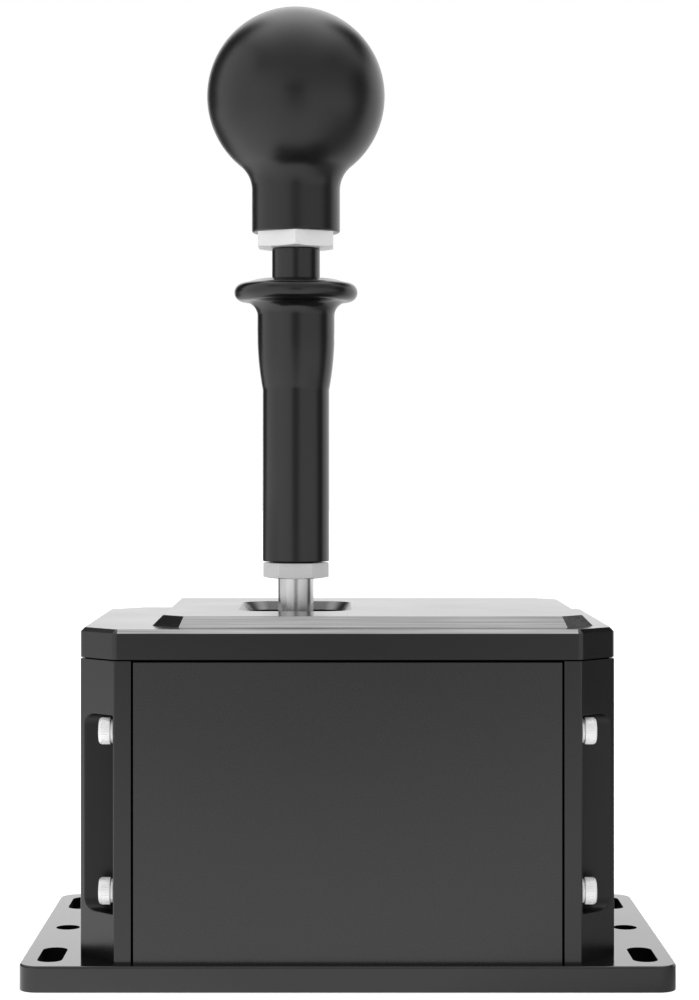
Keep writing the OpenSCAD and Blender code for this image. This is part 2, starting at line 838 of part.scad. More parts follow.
// Bent sheet that stands the sensor board in front of the lever's tail
module board_bracket() {
    color(dark_steel) difference() {
        translate([lever_x, 0, 0]) {
            block(-bracket_half_w, bracket_half_w, bracket_y - bracket_t, bracket_y, base_t, bracket_top_z);
            block(-bracket_half_w, bracket_half_w, bracket_y - bracket_foot, bracket_y, base_t,
                  base_t + bracket_t);
        }
        bracket_posts() rod_z(small_screw_r + screw_gap, base_t - past, base_t + bracket_t + past);
        board_screw_places() rod_y(small_screw_r, -bracket_t - past, past);
    }
}

module bracket_screws() {
    color(bright_steel) bracket_posts() small_screw(base_t + bracket_t, bracket_t + base_bite);
}

module sensor_board() {
    color(board_green) difference() {
        block(lever_x - bracket_half_w, lever_x + bracket_half_w, bracket_y, bracket_y + board_t,
              bracket_top_z - sensor_board_h, bracket_top_z);
        board_screw_places() rod_y(small_screw_r + screw_gap, -past, board_t + past);
    }
}

module sensor_chip() {
    color(chip_black)
        translate([lever_x - sensor_chip_size[0] / 2, bracket_y + board_t,
                   holder_mid_z - sensor_chip_size[2] / 2])
            cube(sensor_chip_size);
}

module board_screws() {
    color(bright_steel) board_screw_places() rotate([-90, 0, 0])
        small_screw(board_t, board_t + bracket_t);
}

module control_posts() {
    for (sx = [-1, 1], sy = [-1, 1])
        translate([control_x + sx * (board_w / 2 - board_screw_inset),
                   control_y + sy * (board_d / 2 - board_screw_inset), 0]) children();
}

module control_board() {
    color(board_green) difference() {
        block(control_x - board_w / 2, control_x + board_w / 2, control_y - board_d / 2,
              control_y + board_d / 2, control_z, control_z + board_t);
        control_posts() rod_z(small_screw_r + screw_gap, control_z - past, control_z + board_t + past);
    }
}

module board_standoffs() {
    color(bright_steel) control_posts() difference() {
        rod_z(small_head_r, base_t, control_z);
        rod_z(small_screw_r + screw_gap, base_t - past, control_z + past);
    }
}

module control_board_screws() {
    color(bright_steel) control_posts()
        small_screw(control_z + board_t, board_t + standoff_h + base_bite);
}

module board_chips() {
    color(chip_black) translate([control_x, control_y, control_z + board_t])
        for (chip = [[controller_at, controller_size], [plug_at, plug_size], [crystal_at, crystal_size]])
            translate([chip[0][0] - chip[1][0] / 2, chip[0][1] - chip[1][1] / 2, 0]) cube(chip[1]);
}

// Data socket: a case through the rear panel with an open port and its tongue
module usb_socket() {
    y1 = half_d;
    y0 = y1 - socket_len;
    z0 = control_z + board_t;
    mid_z = z0 + socket_h / 2;
    port_r = port_h / 2;
    color(chip_black) translate([socket_x, 0, 0]) {
        difference() {
            block(-socket_w / 2, socket_w / 2, y0, y1, z0, z0 + socket_h);
            translate([0, 0, mid_z]) {
                block(-port_w / 2 + port_r, port_w / 2 - port_r, y1 - port_depth, y1 + past, -port_r, port_r);
                for (sx = [-1, 1]) translate([sx * (port_w / 2 - port_r), 0, 0])
                    rod_y(port_r, y1 - port_depth, y1 + past);
            }
        }
        block(-port_w / 2 + port_r, port_w / 2 - port_r, y1 - port_depth - past, y1 - tongue_drop,
              mid_z - tongue_t / 2, mid_z + tongue_t / 2);
    }
}

// Frame that tilts from side to side and carries the hub
module select_yoke() {
    color(grey_anodised) at_pivot() difference() {
        round_bar(yoke_x, yoke_y, yoke_edge_r, -yoke_half_h, yoke_half_h);
        round_bar(window_x, window_y, yoke_window_r, -yoke_half_h - past, yoke_half_h + past);
        rod_x(shift_pin_r, -yoke_x - past, yoke_x + past);
        for (s = [-1, 1])
            rod_y(yoke_pin_r, min(s * (yoke_y - yoke_pin_bite), s * (yoke_y + past)),
                  max(s * (yoke_y - yoke_pin_bite), s * (yoke_y + past)));
        for (sx = [-1, 1]) translate([sx * spring_x, 0, 0])
            rod_z(spring_post_r, -yoke_half_h - past, -shift_pin_r - spring_pin_roof);
    }
}

// Shouldered pin from the yoke to a bush; reach is the distance from the pivot to the panel
module yoke_pin(reach) {
    rod_y(yoke_pin_r, yoke_y - yoke_pin_bite, reach + yoke_bush_seat - shoulder_gap);
    rod_y(yoke_shoulder_r, yoke_y, reach - yoke_bush_flange_t - shoulder_gap);
}

module yoke_pin_front() {
    color(bright_steel) at_pivot() mirror([0, 1, 0]) yoke_pin(inner_y + lever_y);
}

module yoke_pin_rear() {
    color(bright_steel) at_pivot() yoke_pin(inner_y - lever_y);
}

module shift_pins() {
    color(bright_steel) at_pivot() for (sx = [0, 1]) mirror([sx, 0, 0])
        rod_x(shift_pin_r, shift_pin_in, yoke_x);
}

module spring_pins() {
    color(bright_steel) at_pivot() for (sx = [-1, 1]) translate([sx * spring_x, 0, 0])
        rod_z(spring_post_r, -yoke_half_h - spring_post_len, -shift_pin_r - spring_pin_roof);
}

module thrust_washers() {
    color(bronze) at_pivot() for (sx = [0, 1]) mirror([sx, 0, 0]) difference() {
        rod_x(bush_r + shoulder_w, hub_half_w + play, hub_half_w + play + washer_t);
        rod_x(shift_pin_r + run_gap, 0, yoke_x);
    }
}

module lever_hub() {
    color(grey_anodised) at_pivot() difference() {
        intersection() {
            rod_x(hub_round_r, -hub_half_w, hub_half_w);
            block(-hub_half_w, hub_half_w, -hub_half_d, hub_half_d, -hub_half_d, hub_half_d);
        }
        rod_z(shaft_r, -hub_round_r, hub_round_r);
        for (sx = [0, 1]) mirror([sx, 0, 0]) rod_x(bush_r, shift_pin_in - bush_end_room, hub_half_w + past);
        for (s = [0, 1]) mirror([0, s, 0]) rod_y(small_screw_r, shaft_r - past, hub_half_d + past);
    }
}

module pivot_bushes() {
    color(bronze) at_pivot() for (sx = [0, 1]) mirror([sx, 0, 0]) difference() {
        rod_x(bush_r, shift_pin_in - bush_end_room, hub_half_w);
        rod_x(shift_pin_r + run_gap, 0, hub_half_w + past);
    }
}

module hub_screws() {
    color(dark_steel) at_pivot() for (s = [0, 1]) mirror([0, s, 0]) difference() {
        rod_y(small_screw_r, shaft_r + play, hub_half_d);
        translate([0, hub_half_d - small_screw_r, 0]) rotate([-90, 0, 0])
            cylinder(r = small_screw_r * 0.6, h = small_screw_r + past, $fn = 6);
    }
}

module lever_shaft() {
    color(bright_steel) at_lever() difference() {
        rod_z(shaft_r, finger_top_z, shaft_top_z);
        rod_z(rod_r + rod_room, finger_top_z - past, shaft_top_z + past);
        rod_z(finger_plug_r, finger_top_z - past, finger_top_z + finger_plug_len);
    }
}

// Hollow finger with a ball end that runs in the gate
module gate_finger() {
    color(bright_steel) at_lever() difference() {
        union() {
            translate([0, 0, gate_ball_z]) sphere(r = gate_ball_r);
            rod_z(finger_neck_r, gate_ball_z, finger_neck_z);
            translate([0, 0, finger_neck_z])
                cylinder(r1 = finger_neck_r, r2 = finger_shoulder_r, h = finger_top_z - finger_neck_z);
            rod_z(finger_plug_r, finger_top_z - past, finger_top_z + finger_plug_len);
        }
        rod_z(tip_r + rod_room, gate_ball_z - gate_ball_r - past, finger_top_z + finger_plug_len + past);
    }
}

module magnet_holder() {
    color(chip_black) at_lever() difference() {
        rod_z(holder_r, holder_z0, holder_z1);
        rod_z(shaft_r, holder_z0 - past, holder_z1 + past);
        translate([0, 0, holder_mid_z])
            rod_y(sensor_magnet_r, -holder_r - past, -holder_r + sensor_magnet_t);
    }
}

module sensor_magnet() {
    color(bright_steel) at_lever() translate([0, 0, holder_mid_z])
        rod_y(sensor_magnet_r, -holder_r + sensor_magnet_sink, -holder_r + sensor_magnet_t);
}

// Hexagon nut with chamfered corners, flats to front and rear
module lock_nut(af, bore_r, z, h) {
    face_r = af / 2 - nut_face_drop;
    rim_r = af / 2 / cos(30) + nut_face_drop;
    chamfer_h = (rim_r - face_r) * tan(nut_chamfer);
    difference() {
        intersection() {
            translate([0, 0, z]) cylinder(r = af / 2 / cos(30), h = h, $fn = 6);
            translate([0, 0, z]) rotate_extrude() polygon([
                [0, 0], [face_r, 0], [rim_r, chamfer_h], [rim_r, h - chamfer_h], [face_r, h], [0, h]
            ]);
        }
        rod_z(bore_r, z - past, z + h + past);
    }
}

module lower_lock_nut() {
    color(bright_steel) at_lever() lock_nut(lower_nut_af, shaft_r, nut_z, lower_nut_h);
}

module upper_lock_nut() {
    color(bright_steel) at_lever() rotate(30) lock_nut(upper_nut_af, stud_r, upper_nut_z, upper_nut_h);
}

// Tube over the shaft, slotted for the cross pin, with the knob's stud at its top
module lever_tube() {
    pin_slot_r = cross_pin_r + rod_room;
    head_bore_z = rod_top_z + collar_lift + head_bore_room;
    color(black_anodised) at_lever() difference() {
        union() {
            rod_z(tube_r, collar_z, upper_nut_z);
            rod_z(stud_r, collar_z, knob_z + stud_grip);
        }
        rod_z(shaft_r, collar_z - past, shaft_top_z);
        rod_z(rod_head_r + rod_room, shaft_top_z - past, head_bore_z);
        block(-tube_r - past, tube_r + past, -pin_slot_r, pin_slot_r, cross_pin_z, cross_pin_z + collar_lift);
        for (z = [cross_pin_z, cross_pin_z + collar_lift]) translate([0, 0, z])
            rod_x(pin_slot_r, -tube_r - past, tube_r + past);
        difference() {
            rod_z(tube_r + past, stop_ring_z, stop_ring_z + stop_ring_t);
            rod_z(stop_ring_groove_r, stop_ring_z - past, stop_ring_z + stop_ring_t + past);
        }
    }
}

module shift_knob() {
    reach = ball_r + knob_fillet;
    out = knob_neck_r + knob_fillet;
    fillet_drop = sqrt(reach * reach - out * out);
    join_angle = atan2(fillet_drop, out);
    outline = concat(
        [[0, knob_z], [knob_neck_r - knob_edge, knob_z], [knob_neck_r, knob_z + knob_edge]],
        arc(out, ball_z - fillet_drop, knob_fillet, 180, 180 - join_angle, 10),
        arc(0, ball_z, ball_r, -join_angle, 90, 36)
    );
    color(black_anodised) at_lever() difference() {
        rotate_extrude() polygon(outline);
        rod_z(stud_r, knob_z - past, knob_z + stud_grip + stud_room);
    }
}

module spring_stop_ring() {
    color(dark_steel) at_lever() difference() {
        rod_z(stop_ring_r, stop_ring_z, stop_ring_z + stop_ring_t);
        rod_z(stop_ring_groove_r, stop_ring_z - past, stop_ring_z + stop_ring_t + past);
    }
}

module collar_spring() {
    color(bright_steel) at_lever()
        coil(collar_spring_r, collar_wire, collar_z + collar_bush_len + spring_end_gap,
             stop_ring_z - spring_end_gap, collar_turns);
}

// Turned sleeve with a finger flange; the spring chamber opens at its foot
module pull_collar() {
    foot_z = collar_z + collar_seat_gap;
    grip_z = collar_z + barrel_len + taper_len;
    edge_r = flange_t / 2;
    edge_z = collar_top_z - edge_r - flange_crown;
    fillet_z = edge_z - edge_r - flange_fillet;
    crown_r = flange_r - edge_r - flange_crown_w;
    taper_r = (pow(taper_len, 2) + pow(grip_r - barrel_r, 2)) / (grip_r - barrel_r) / 2;
    outline = concat(
        arc(barrel_r - collar_foot_r, foot_z + collar_foot_r, collar_foot_r, -90, 0, 5),
        arc(grip_r - taper_r, grip_z, taper_r, -asin(taper_len / taper_r), 0, 8),
        arc(grip_r + flange_fillet, fillet_z, flange_fillet, 180, 90, 8),
        arc(flange_r - edge_r, edge_z, edge_r, -90, 90, 12),
        [[crown_r, collar_top_z], [0, collar_top_z], [0, foot_z]]
    );
    color(black_anodised) at_lever() difference() {
        rotate_extrude() polygon(outline);
        rod_z(chamber_r, collar_z - past, chamber_top_z);
        rod_z(tube_r + run_gap, chamber_top_z - past, collar_top_z + past);
        translate([0, 0, cross_pin_z]) rod_x(cross_pin_r, -grip_r - past, grip_r + past);
    }
}

module collar_bush() {
    color(bronze) at_lever() difference() {
        rod_z(chamber_r, collar_z + collar_seat_gap, collar_z + collar_bush_len);
        rod_z(tube_r + run_gap, collar_z - past, collar_z + collar_bush_len + past);
    }
}

// Rod inside the shaft that the collar lifts, with a thin tip through the finger
module lockout_rod() {
    color(bright_steel) at_lever() difference() {
        union() {
            rod_z(tip_r, tip_z, rod_step_z);
            rod_z(rod_r, rod_step_z, rod_head_z);
            rod_z(rod_head_r, rod_head_z, rod_top_z);
        }
        translate([0, 0, cross_pin_z]) rod_x(cross_pin_r, -tube_r, tube_r);
    }
}

module lockout_cross_pin() {
    color(bright_steel) at_lever() translate([0, 0, cross_pin_z])
        rod_x(cross_pin_r, -grip_r + cross_pin_sink, grip_r - cross_pin_sink);
}

base_plate();
left_side_plate();
right_side_plate();
front_panel();
rear_panel();
top_plate();
corner_screws();
corner_washers();
tie_bolts();
front_bush();
rear_bush();
gate_plate();
gate_standoffs();
gate_screws();
gate_magnets();
reverse_stop();
stop_screws();
spring_seats();
left_centring_spring();
right_centring_spring();
board_bracket();
bracket_screws();
sensor_board();
sensor_chip();
board_screws();
control_board();
board_standoffs();
control_board_screws();
board_chips();
usb_socket();
select_yoke();
yoke_pin_front();
yoke_pin_rear();
shift_pins();
spring_pins();
thrust_washers();
lever_hub();
pivot_bushes();
hub_screws();
lever_shaft();
gate_finger();
magnet_holder();
sensor_magnet();
lower_lock_nut();
lever_tube();
upper_lock_nut();
shift_knob();
spring_stop_ring();
collar_spring();
pull_collar();
collar_bush();
lockout_rod();
lockout_cross_pin();
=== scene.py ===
"""Gear shifter for a driving simulator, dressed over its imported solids.

Each sub-assembly is a class whose fields are its sizes in millimetres. Its pieces are
modelled with Blender's operators, take a finish and ride on the body that carries them.
X runs to the driver's right, Y away from the driver and Z up, from the middle of the
base plate's underside.
"""

from __future__ import annotations

import logging
import math
from contextlib import contextmanager
from dataclasses import dataclass
from enum import Enum
from typing import Callable, Iterator, Mapping, Sequence, Union

import bmesh
import bpy
from mathutils import Matrix, Vector

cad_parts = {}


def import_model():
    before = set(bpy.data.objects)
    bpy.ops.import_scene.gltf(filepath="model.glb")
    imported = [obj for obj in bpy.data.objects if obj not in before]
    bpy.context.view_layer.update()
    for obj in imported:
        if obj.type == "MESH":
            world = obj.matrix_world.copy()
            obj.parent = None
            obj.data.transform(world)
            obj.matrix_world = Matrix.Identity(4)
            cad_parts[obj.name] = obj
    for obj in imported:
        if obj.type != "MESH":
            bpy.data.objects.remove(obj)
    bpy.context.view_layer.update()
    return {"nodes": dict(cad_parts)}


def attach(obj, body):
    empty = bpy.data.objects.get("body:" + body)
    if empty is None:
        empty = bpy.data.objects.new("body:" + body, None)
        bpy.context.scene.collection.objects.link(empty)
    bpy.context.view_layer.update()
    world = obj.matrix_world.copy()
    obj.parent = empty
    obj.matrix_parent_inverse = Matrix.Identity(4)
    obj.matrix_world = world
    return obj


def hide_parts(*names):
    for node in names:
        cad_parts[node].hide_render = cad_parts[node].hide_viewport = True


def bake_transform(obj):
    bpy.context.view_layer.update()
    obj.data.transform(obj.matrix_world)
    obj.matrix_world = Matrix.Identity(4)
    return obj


LOG = logging.getLogger("shifter")
MM = 0.001
# Doubles that are merged, in metres
MERGE_DISTANCE = 1e-6
# In millimetres: slivers that are melted, places that count as one, and a cutter's reach
SLIVER = 0.003
TOUCH = 0.01
PAST = 1.0
# How much longer than wide an edge is that runs along an axis
STRAIGHT = 10.0
# Steps of a rounded corner and of a turned form
SMALL_CORNER, CORNER = 8, 12
COARSE_TURN, SMALL_TURN, FULL_TURN, FINE_TURN = 48, 64, 96, 128
SIDES = (-1, 1)
CORNERS = tuple((sx, sy) for sx in SIDES for sy in SIDES)
LEVER_AT = (-14.2, 7.2)
HEX_STEP = 30.0

Point = Sequence[float]
Profile = Sequence[tuple[float, float]]
EdgeTest = Callable[[Vector, Vector], bool]
FaceTest = Callable[[Vector, Vector], bool]
Colour = tuple[float, float, float]


class Body(Enum):
    """The bodies that pieces ride on."""

    HOUSING = "housing"
    YOKE = "yoke"
    LEVER = "lever"
    COLLAR = "collar"


class Merge(Enum):
    """Ways to combine one mesh with another."""

    CUT = "DIFFERENCE"
    JOIN = "UNION"
    MEET = "INTERSECT"


class Axis(Enum):
    """The frame's axes, by their place in a point."""

    X = 0
    Y = 1
    Z = 2


class Grain(Enum):
    """How a tool or a polishing belt left its lines: the stretch along X, Y and Z."""

    EVEN = (1.0, 1.0, 1.0)
    ALONG_X = (0.012, 1.0, 1.0)
    ALONG_Z = (1.0, 1.0, 0.012)
    RINGS = (0.02, 0.02, 1.0)


# Nodes


class Value:
    """A socket that a material's sum starts from; arithmetic on it adds Math nodes."""

    def __init__(self, board: Board, socket: bpy.types.NodeSocket) -> None:
        """Wraps one output socket of the board's node tree."""
        self.board = board
        self.socket = socket

    def _sum(self, operation: str, first: Operand, second: Operand) -> Value:
        """Adds one Math node.

        Args:
            operation: The Math node's operation.
            first: What goes into its first socket.
            second: What goes into its second socket.

        Returns:
            The node's result.
        """
        return self.board.add(
            "ShaderNodeMath", {"operation": operation}, {0: first, 1: second}
        )

    def __add__(self, other: Operand) -> Value:
        """Sum."""
        return self._sum("ADD", self, other)

    def __radd__(self, other: Operand) -> Value:
        """Sum, with a number in front."""
        return self._sum("ADD", other, self)

    def __sub__(self, other: Operand) -> Value:
        """Difference."""
        return self._sum("SUBTRACT", self, other)

    def __rsub__(self, other: Operand) -> Value:
        """Difference, with a number in front."""
        return self._sum("SUBTRACT", other, self)

    def __mul__(self, other: Operand) -> Value:
        """Product."""
        return self._sum("MULTIPLY", self, other)

    def __rmul__(self, other: Operand) -> Value:
        """Product, with a number in front."""
        return self._sum("MULTIPLY", other, self)

    def __truediv__(self, other: Operand) -> Value:
        """Quotient."""
        return self._sum("DIVIDE", self, other)

    def __rtruediv__(self, other: Operand) -> Value:
        """Quotient, with a number in front."""
        return self._sum("DIVIDE", other, self)


Operand = Union[Value, float]
Setting = Union[str, float, bool, Sequence]
Input = Union[Value, float, Sequence[float]]


class Board:
    """A node tree under work, with one method that adds any node."""

    NOISE_ROUGHNESS = 0.6
    # Sockets of a Mix node that take and give colours
    COLOUR_A, COLOUR_B, COLOUR_OUT = 6, 7, 2

    def __init__(self, tree: bpy.types.NodeTree) -> None:
        """Takes a node tree and empties it."""
        self.tree = tree
        tree.nodes.clear()

    def add(
        self,
        kind: str,
        settings: Mapping[str, Setting] | None = None,
        sockets: Mapping[str | int, Input] | None = None,
        out: str | int = 0,
    ) -> Value:
        """Adds one node.

        Args:
            kind: The node's type.
            settings: Its settings by name, set first; stops is a ramp's list of
                place and grey.
            sockets: The value or link of each socket, by name or number.
            out: The output to hand back, by name or number.

        Returns:
            That output; an output node has none, so its first input is wrapped.
        """
        made = self.tree.nodes.new(kind)
        for name, setting in (settings or {}).items():
            if name == "stops":
                self._set_stops(made.color_ramp, setting)
            else:
                setattr(made, name, setting)
        for key, value in (sockets or {}).items():
            if isinstance(value, Value):
                self.tree.links.new(value.socket, made.inputs[key])
            else:
                made.inputs[key].default_value = value
        return Value(self, made.outputs[out] if made.outputs else made.inputs[0])

    @staticmethod
    def _set_stops(ramp: bpy.types.ColorRamp, stops: Sequence[tuple[float, float]]) -> None:
        """Sets a ramp's stops.

        Args:
            ramp: The ramp.
            stops: Each stop's place and its grey.
        """
        while len(ramp.elements) > 1:
            ramp.elements.remove(ramp.elements[-1])
        for index, (place, grey) in enumerate(stops):
            element = ramp.elements[0] if index == 0 else ramp.elements.new(place)
            element.position = place
            element.color = (grey, grey, grey, 1.0)

    def blend(self, factor: Operand, first: Colour, second: Colour) -> Value:
        """Mixes two colours.

        Args:
            factor: The share of the second colour.
            first: The first colour.
            second: The second colour.

        Returns:
            The mixed colour.
        """
        return self.add(
            "ShaderNodeMix",
            {"data_type": "RGBA"},
            {0: factor, self.COLOUR_A: (*first, 1.0), self.COLOUR_B: (*second, 1.0)},
            out=self.COLOUR_OUT,
        )

    def part(self, vector: Value, axis: Axis) -> Value:
        """Takes one part of a vector."""
        return self.add("ShaderNodeSeparateXYZ", {}, {0: vector}, out=axis.name)

    def curve(self, place: Value, stops: Profile) -> Value:
        """Reads a ramp of greys at a place from 0 to 1."""
        return self.add("ShaderNodeValToRGB", {"stops": stops}, {"Fac": place})

    def ray(self, kind: str) -> Value:
        """Tells whether the ray is of a kind."""
        return self.add("ShaderNodeLightPath", out=f"Is {kind} Ray")

    def glow(self, strength: Operand) -> Value:
        """Adds white light."""
        return self.add("ShaderNodeEmission", {}, {"Strength": strength})

    def noise(self, scale: float, detail: float, grain: Grain = Grain.EVEN) -> Value:
        """Adds a noise that lies still on the piece.

        Args:
            scale: Its scale, in cells per metre.
            detail: Its octaves.
            grain: Which way it is drawn out.

        Returns:
            The noise, from 0 to 1.
        """
        place = self.add("ShaderNodeTexCoord", out="Object")
        if grain is not Grain.EVEN:
            place = self.add(
                "ShaderNodeMapping", {}, {"Vector": place, "Scale": grain.value}
            )
        return self.add(
            "ShaderNodeTexNoise",
            {},
            {"Vector": place, "Scale": scale, "Detail": detail, "Roughness": self.NOISE_ROUGHNESS},
        )

    def bump(self, height: Value, depth: float) -> Value:
        """Turns a height into a bumped normal.

        Args:
            height: The height, from 0 to 1.
            depth: The bump's depth in metres.

        Returns:
            The normal.
        """
        return self.add(
            "ShaderNodeBump", {}, {"Strength": 1.0, "Distance": depth, "Height": height}
        )


def new_material(name: str) -> tuple[bpy.types.Material, Board]:
    """Makes an empty material and the board for its nodes."""
    made = bpy.data.materials.new(name)
    made.use_nodes = True
    return made, Board(made.node_tree)


# Finishes


def shade(grey: float, tint: Colour = (1.0, 1.0, 1.0)) -> Colour:
    """Turns a grey and a tint into a colour."""
    return (grey * tint[0], grey * tint[1], grey * tint[2])


@dataclass(frozen=True)
class Finish:
    """A surface that varies a little in tone, gloss and height over the piece.

    The grain is the fine mark of the blast, belt or tool, and the cloud is the slow
    change over a hand's width.
    """

    name: str
    dark: Colour
    light: Colour
    roughness: float
    metallic: float = 0.0
    grain_scale: float = 2400.0
    grain_way: Grain = Grain.EVEN
    grain_depth: float = 4e-6
    rough_spread: float = 0.10
    grain_detail: float = 3.0
    grain_share: float = 0.6
    cloud_scale: float = 22.0
    cloud_detail: float = 2.0
    specular: float = 0.5
    contrast: float = 1.0

    def material(self) -> bpy.types.Material:
        """Makes the material, or finds it if it is made.

        Returns:
            The material.
        """
        made = bpy.data.materials.get(self.name)
        if made is None:
            made, board = new_material(self.name)
            board.add("ShaderNodeOutputMaterial", {}, {"Surface": self.surface(board)})
        return made

    def surface(self, board: Board) -> Value:
        """Builds the shader.

        Args:
            board: The material's nodes.

        Returns:
            The shader.
        """
        grain = board.noise(self.grain_scale, self.grain_detail, self.grain_way)
        cloud = board.noise(self.cloud_scale, self.cloud_detail)
        share = self.grain_share
        tone = (share * grain + (1.0 - share) * cloud - 0.5) * self.contrast + 0.5
        return board.add(
            "ShaderNodeBsdfPrincipled",
            {},
            {
                "Base Color": board.blend(tone, self.dark, self.light),
                "Roughness": self.roughness + self.rough_spread * (grain + cloud - 1.0),
                "Metallic": self.metallic,
                "Specular IOR Level": self.specular,
                "Normal": board.bump(grain, self.grain_depth),
            },
        )


@dataclass(frozen=True)
class Laminate(Finish):
    """Circuit board: solder mask over copper tracks."""

    track: Colour = (0.10, 0.33, 0.16)
    track_scale: float = 900.0
    track_offset: float = 0.5
    track_gap: float = 0.03

    def surface(self, board: Board) -> Value:
        """Builds the shader.

        Args:
            board: The material's nodes.

        Returns:
            The shader.
        """
        place = board.add("ShaderNodeTexCoord", out="Object")
        tracks = board.add(
            "ShaderNodeTexBrick",
            {"offset": self.track_offset},
            {"Vector": place, "Scale": self.track_scale, "Mortar Size": self.track_gap},
            out="Fac",
        )
        return board.add(
            "ShaderNodeBsdfPrincipled",
            {},
            {
                "Base Color": board.blend(tracks, self.light, self.track),
                "Roughness": self.roughness + self.rough_spread * tracks,
                "Normal": board.bump(tracks, self.grain_depth),
            },
        )


BLACK_TOP = Finish(
    "black_anodised_top", shade(0.004), shade(0.007), 0.20, specular=0.6, grain_depth=1.5e-6
)
BLACK_POST = Finish(
    "black_anodised_posts", shade(0.002), shade(0.005), 0.22, specular=0.68, grain_depth=2e-6
)
BLACK_NOTCH = Finish("black_anodised_notch", shade(0.003), shade(0.006), 0.34, specular=0.4)
# Matt black for the faces of seams, rebates and slots: painted shade that stands in for the shade
# deep in these narrow gaps
JOINT_PAINTED_SHADE = Finish("painted_shade_joint", shade(0.002), shade(0.003), 0.8, specular=0.05)
BLACK_PANEL = Finish(
    "black_anodised_panel", shade(0.007), shade(0.011), 0.27, specular=0.72, grain_depth=2e-6
)
BLACK_BASE = Finish(
    "black_anodised_base", shade(0.004), shade(0.007), 0.14, specular=0.65, grain_depth=1.5e-6
)
BLACK_KNOB = Finish(
    "satin_black_knob", shade(0.003), shade(0.006), 0.29, specular=0.55, grain_scale=1800.0,
    grain_depth=8e-7,
)
BLACK_COLLAR = Finish(
    "satin_black_collar", shade(0.002), shade(0.004), 0.24, specular=0.62, rough_spread=0.04,
    grain_scale=1500.0, grain_depth=6e-7,
)
# Bright cut of the front slope and rim; also a painted highlight on the raised field's right
# corner facet
BRIGHT_CUT_AND_PAINTED_HIGHLIGHT = Finish(
    "bright_cut_and_painted_highlight", shade(0.16), shade(0.40), 0.30, metallic=1.0,
    grain_scale=1900.0, grain_way=Grain.ALONG_X, grain_depth=5e-6, contrast=2.6,
)
DULL_CUT = Finish(
    "dull_cut_edge", shade(0.13), shade(0.22), 0.30, metallic=1.0,
    grain_scale=1900.0, grain_way=Grain.ALONG_X, grain_depth=4e-6, contrast=1.5,
)
SHAFT_STEEL = Finish(
    "ground_steel_shaft", shade(0.64), shade(0.80), 0.22, metallic=1.0,
    grain_scale=2600.0, grain_way=Grain.ALONG_Z, grain_depth=1.5e-6,
)
NUT_STEEL = Finish(
    "plated_steel_nut", shade(0.76), shade(0.86), 0.40, metallic=0.30,
    grain_scale=1500.0, grain_depth=2e-6,
)
# Lighter copy of the nut steel for the lower nut: painted light, brighter than the upper nut to
# stand for the stronger light that falls on it
NUT_STEEL_PAINTED_LIGHT = Finish(
    "plated_steel_nut_painted_light", shade(0.94), shade(0.99), 0.50, metallic=0.60, specular=0.9,
    grain_scale=1500.0, grain_depth=1e-6,
)
SCREW_STEEL = Finish(
    "plated_steel_screws", shade(0.84), shade(0.94), 0.34, metallic=0.25,
    grain_scale=1500.0, grain_depth=1.5e-6,
)
DARK_STEEL = Finish("black_oxide_steel", shade(0.05), shade(0.09), 0.38, metallic=0.7)
SPRING_STEEL = Finish(
    "drawn_spring_steel", shade(0.34), shade(0.46), 0.28, metallic=1.0, grain_way=Grain.RINGS
)
GREY_INNER = Finish("grey_anodised_inner", shade(0.06), shade(0.10), 0.42, metallic=0.4)
BRONZE = Finish(
    "sintered_bronze", (0.36, 0.22, 0.09), (0.50, 0.33, 0.15), 0.42, metallic=1.0,
    grain_scale=3200.0, grain_depth=8e-6,
)
MOULDED = Finish(
    "moulded_black", shade(0.010), shade(0.018), 0.48, grain_scale=3600.0, grain_depth=6e-6
)
LAMINATE = Laminate(
    "green_laminate", (0.02, 0.10, 0.05), (0.03, 0.14, 0.07), 0.34, grain_depth=2e-5
)


# Workbench


def clear_selection() -> None:
    """Deselects every object."""
    bpy.ops.object.select_all(action="DESELECT")


def hold(obj: bpy.types.Object) -> None:
    """Selects one object alone and makes it the active one."""
    clear_selection()
    obj.select_set(True)
    bpy.context.view_layer.objects.active = obj


def runs_along(axis: Axis) -> EdgeTest:
    """Makes a test for edges that run along an axis.

    Args:
        axis: The axis.

    Returns:
        The test.
    """

    def test(a: Vector, b: Vector) -> bool:
        """Tells whether an edge does."""
        spans = [abs(start - end) for start, end in zip(a, b)]
        length = spans.pop(axis.value)
        return length > STRAIGHT * sum(spans)

    return test


def level_at(height: float) -> EdgeTest:
    """Makes a test for edges that lie level at a height."""
    return lambda a, b: max(abs(a.z - height), abs(b.z - height)) < TOUCH


UPRIGHT = runs_along(Axis.Z)


def arc(centre: tuple[float, float], radius: float, start: float, end: float, steps: int) -> list:
    """Points along an arc.

    Args:
        centre: Its centre.
        radius: Its radius.
        start: The angle of its first point, in degrees.
        end: The angle of its last point, in degrees.
        steps: The number of steps between them.

    Returns:
        The points, from the first to the last.
    """
    angles = [math.radians(start + (end - start) * i / steps) for i in range(steps + 1)]
    return [(centre[0] + radius * math.cos(a), centre[1] + radius * math.sin(a)) for a in angles]


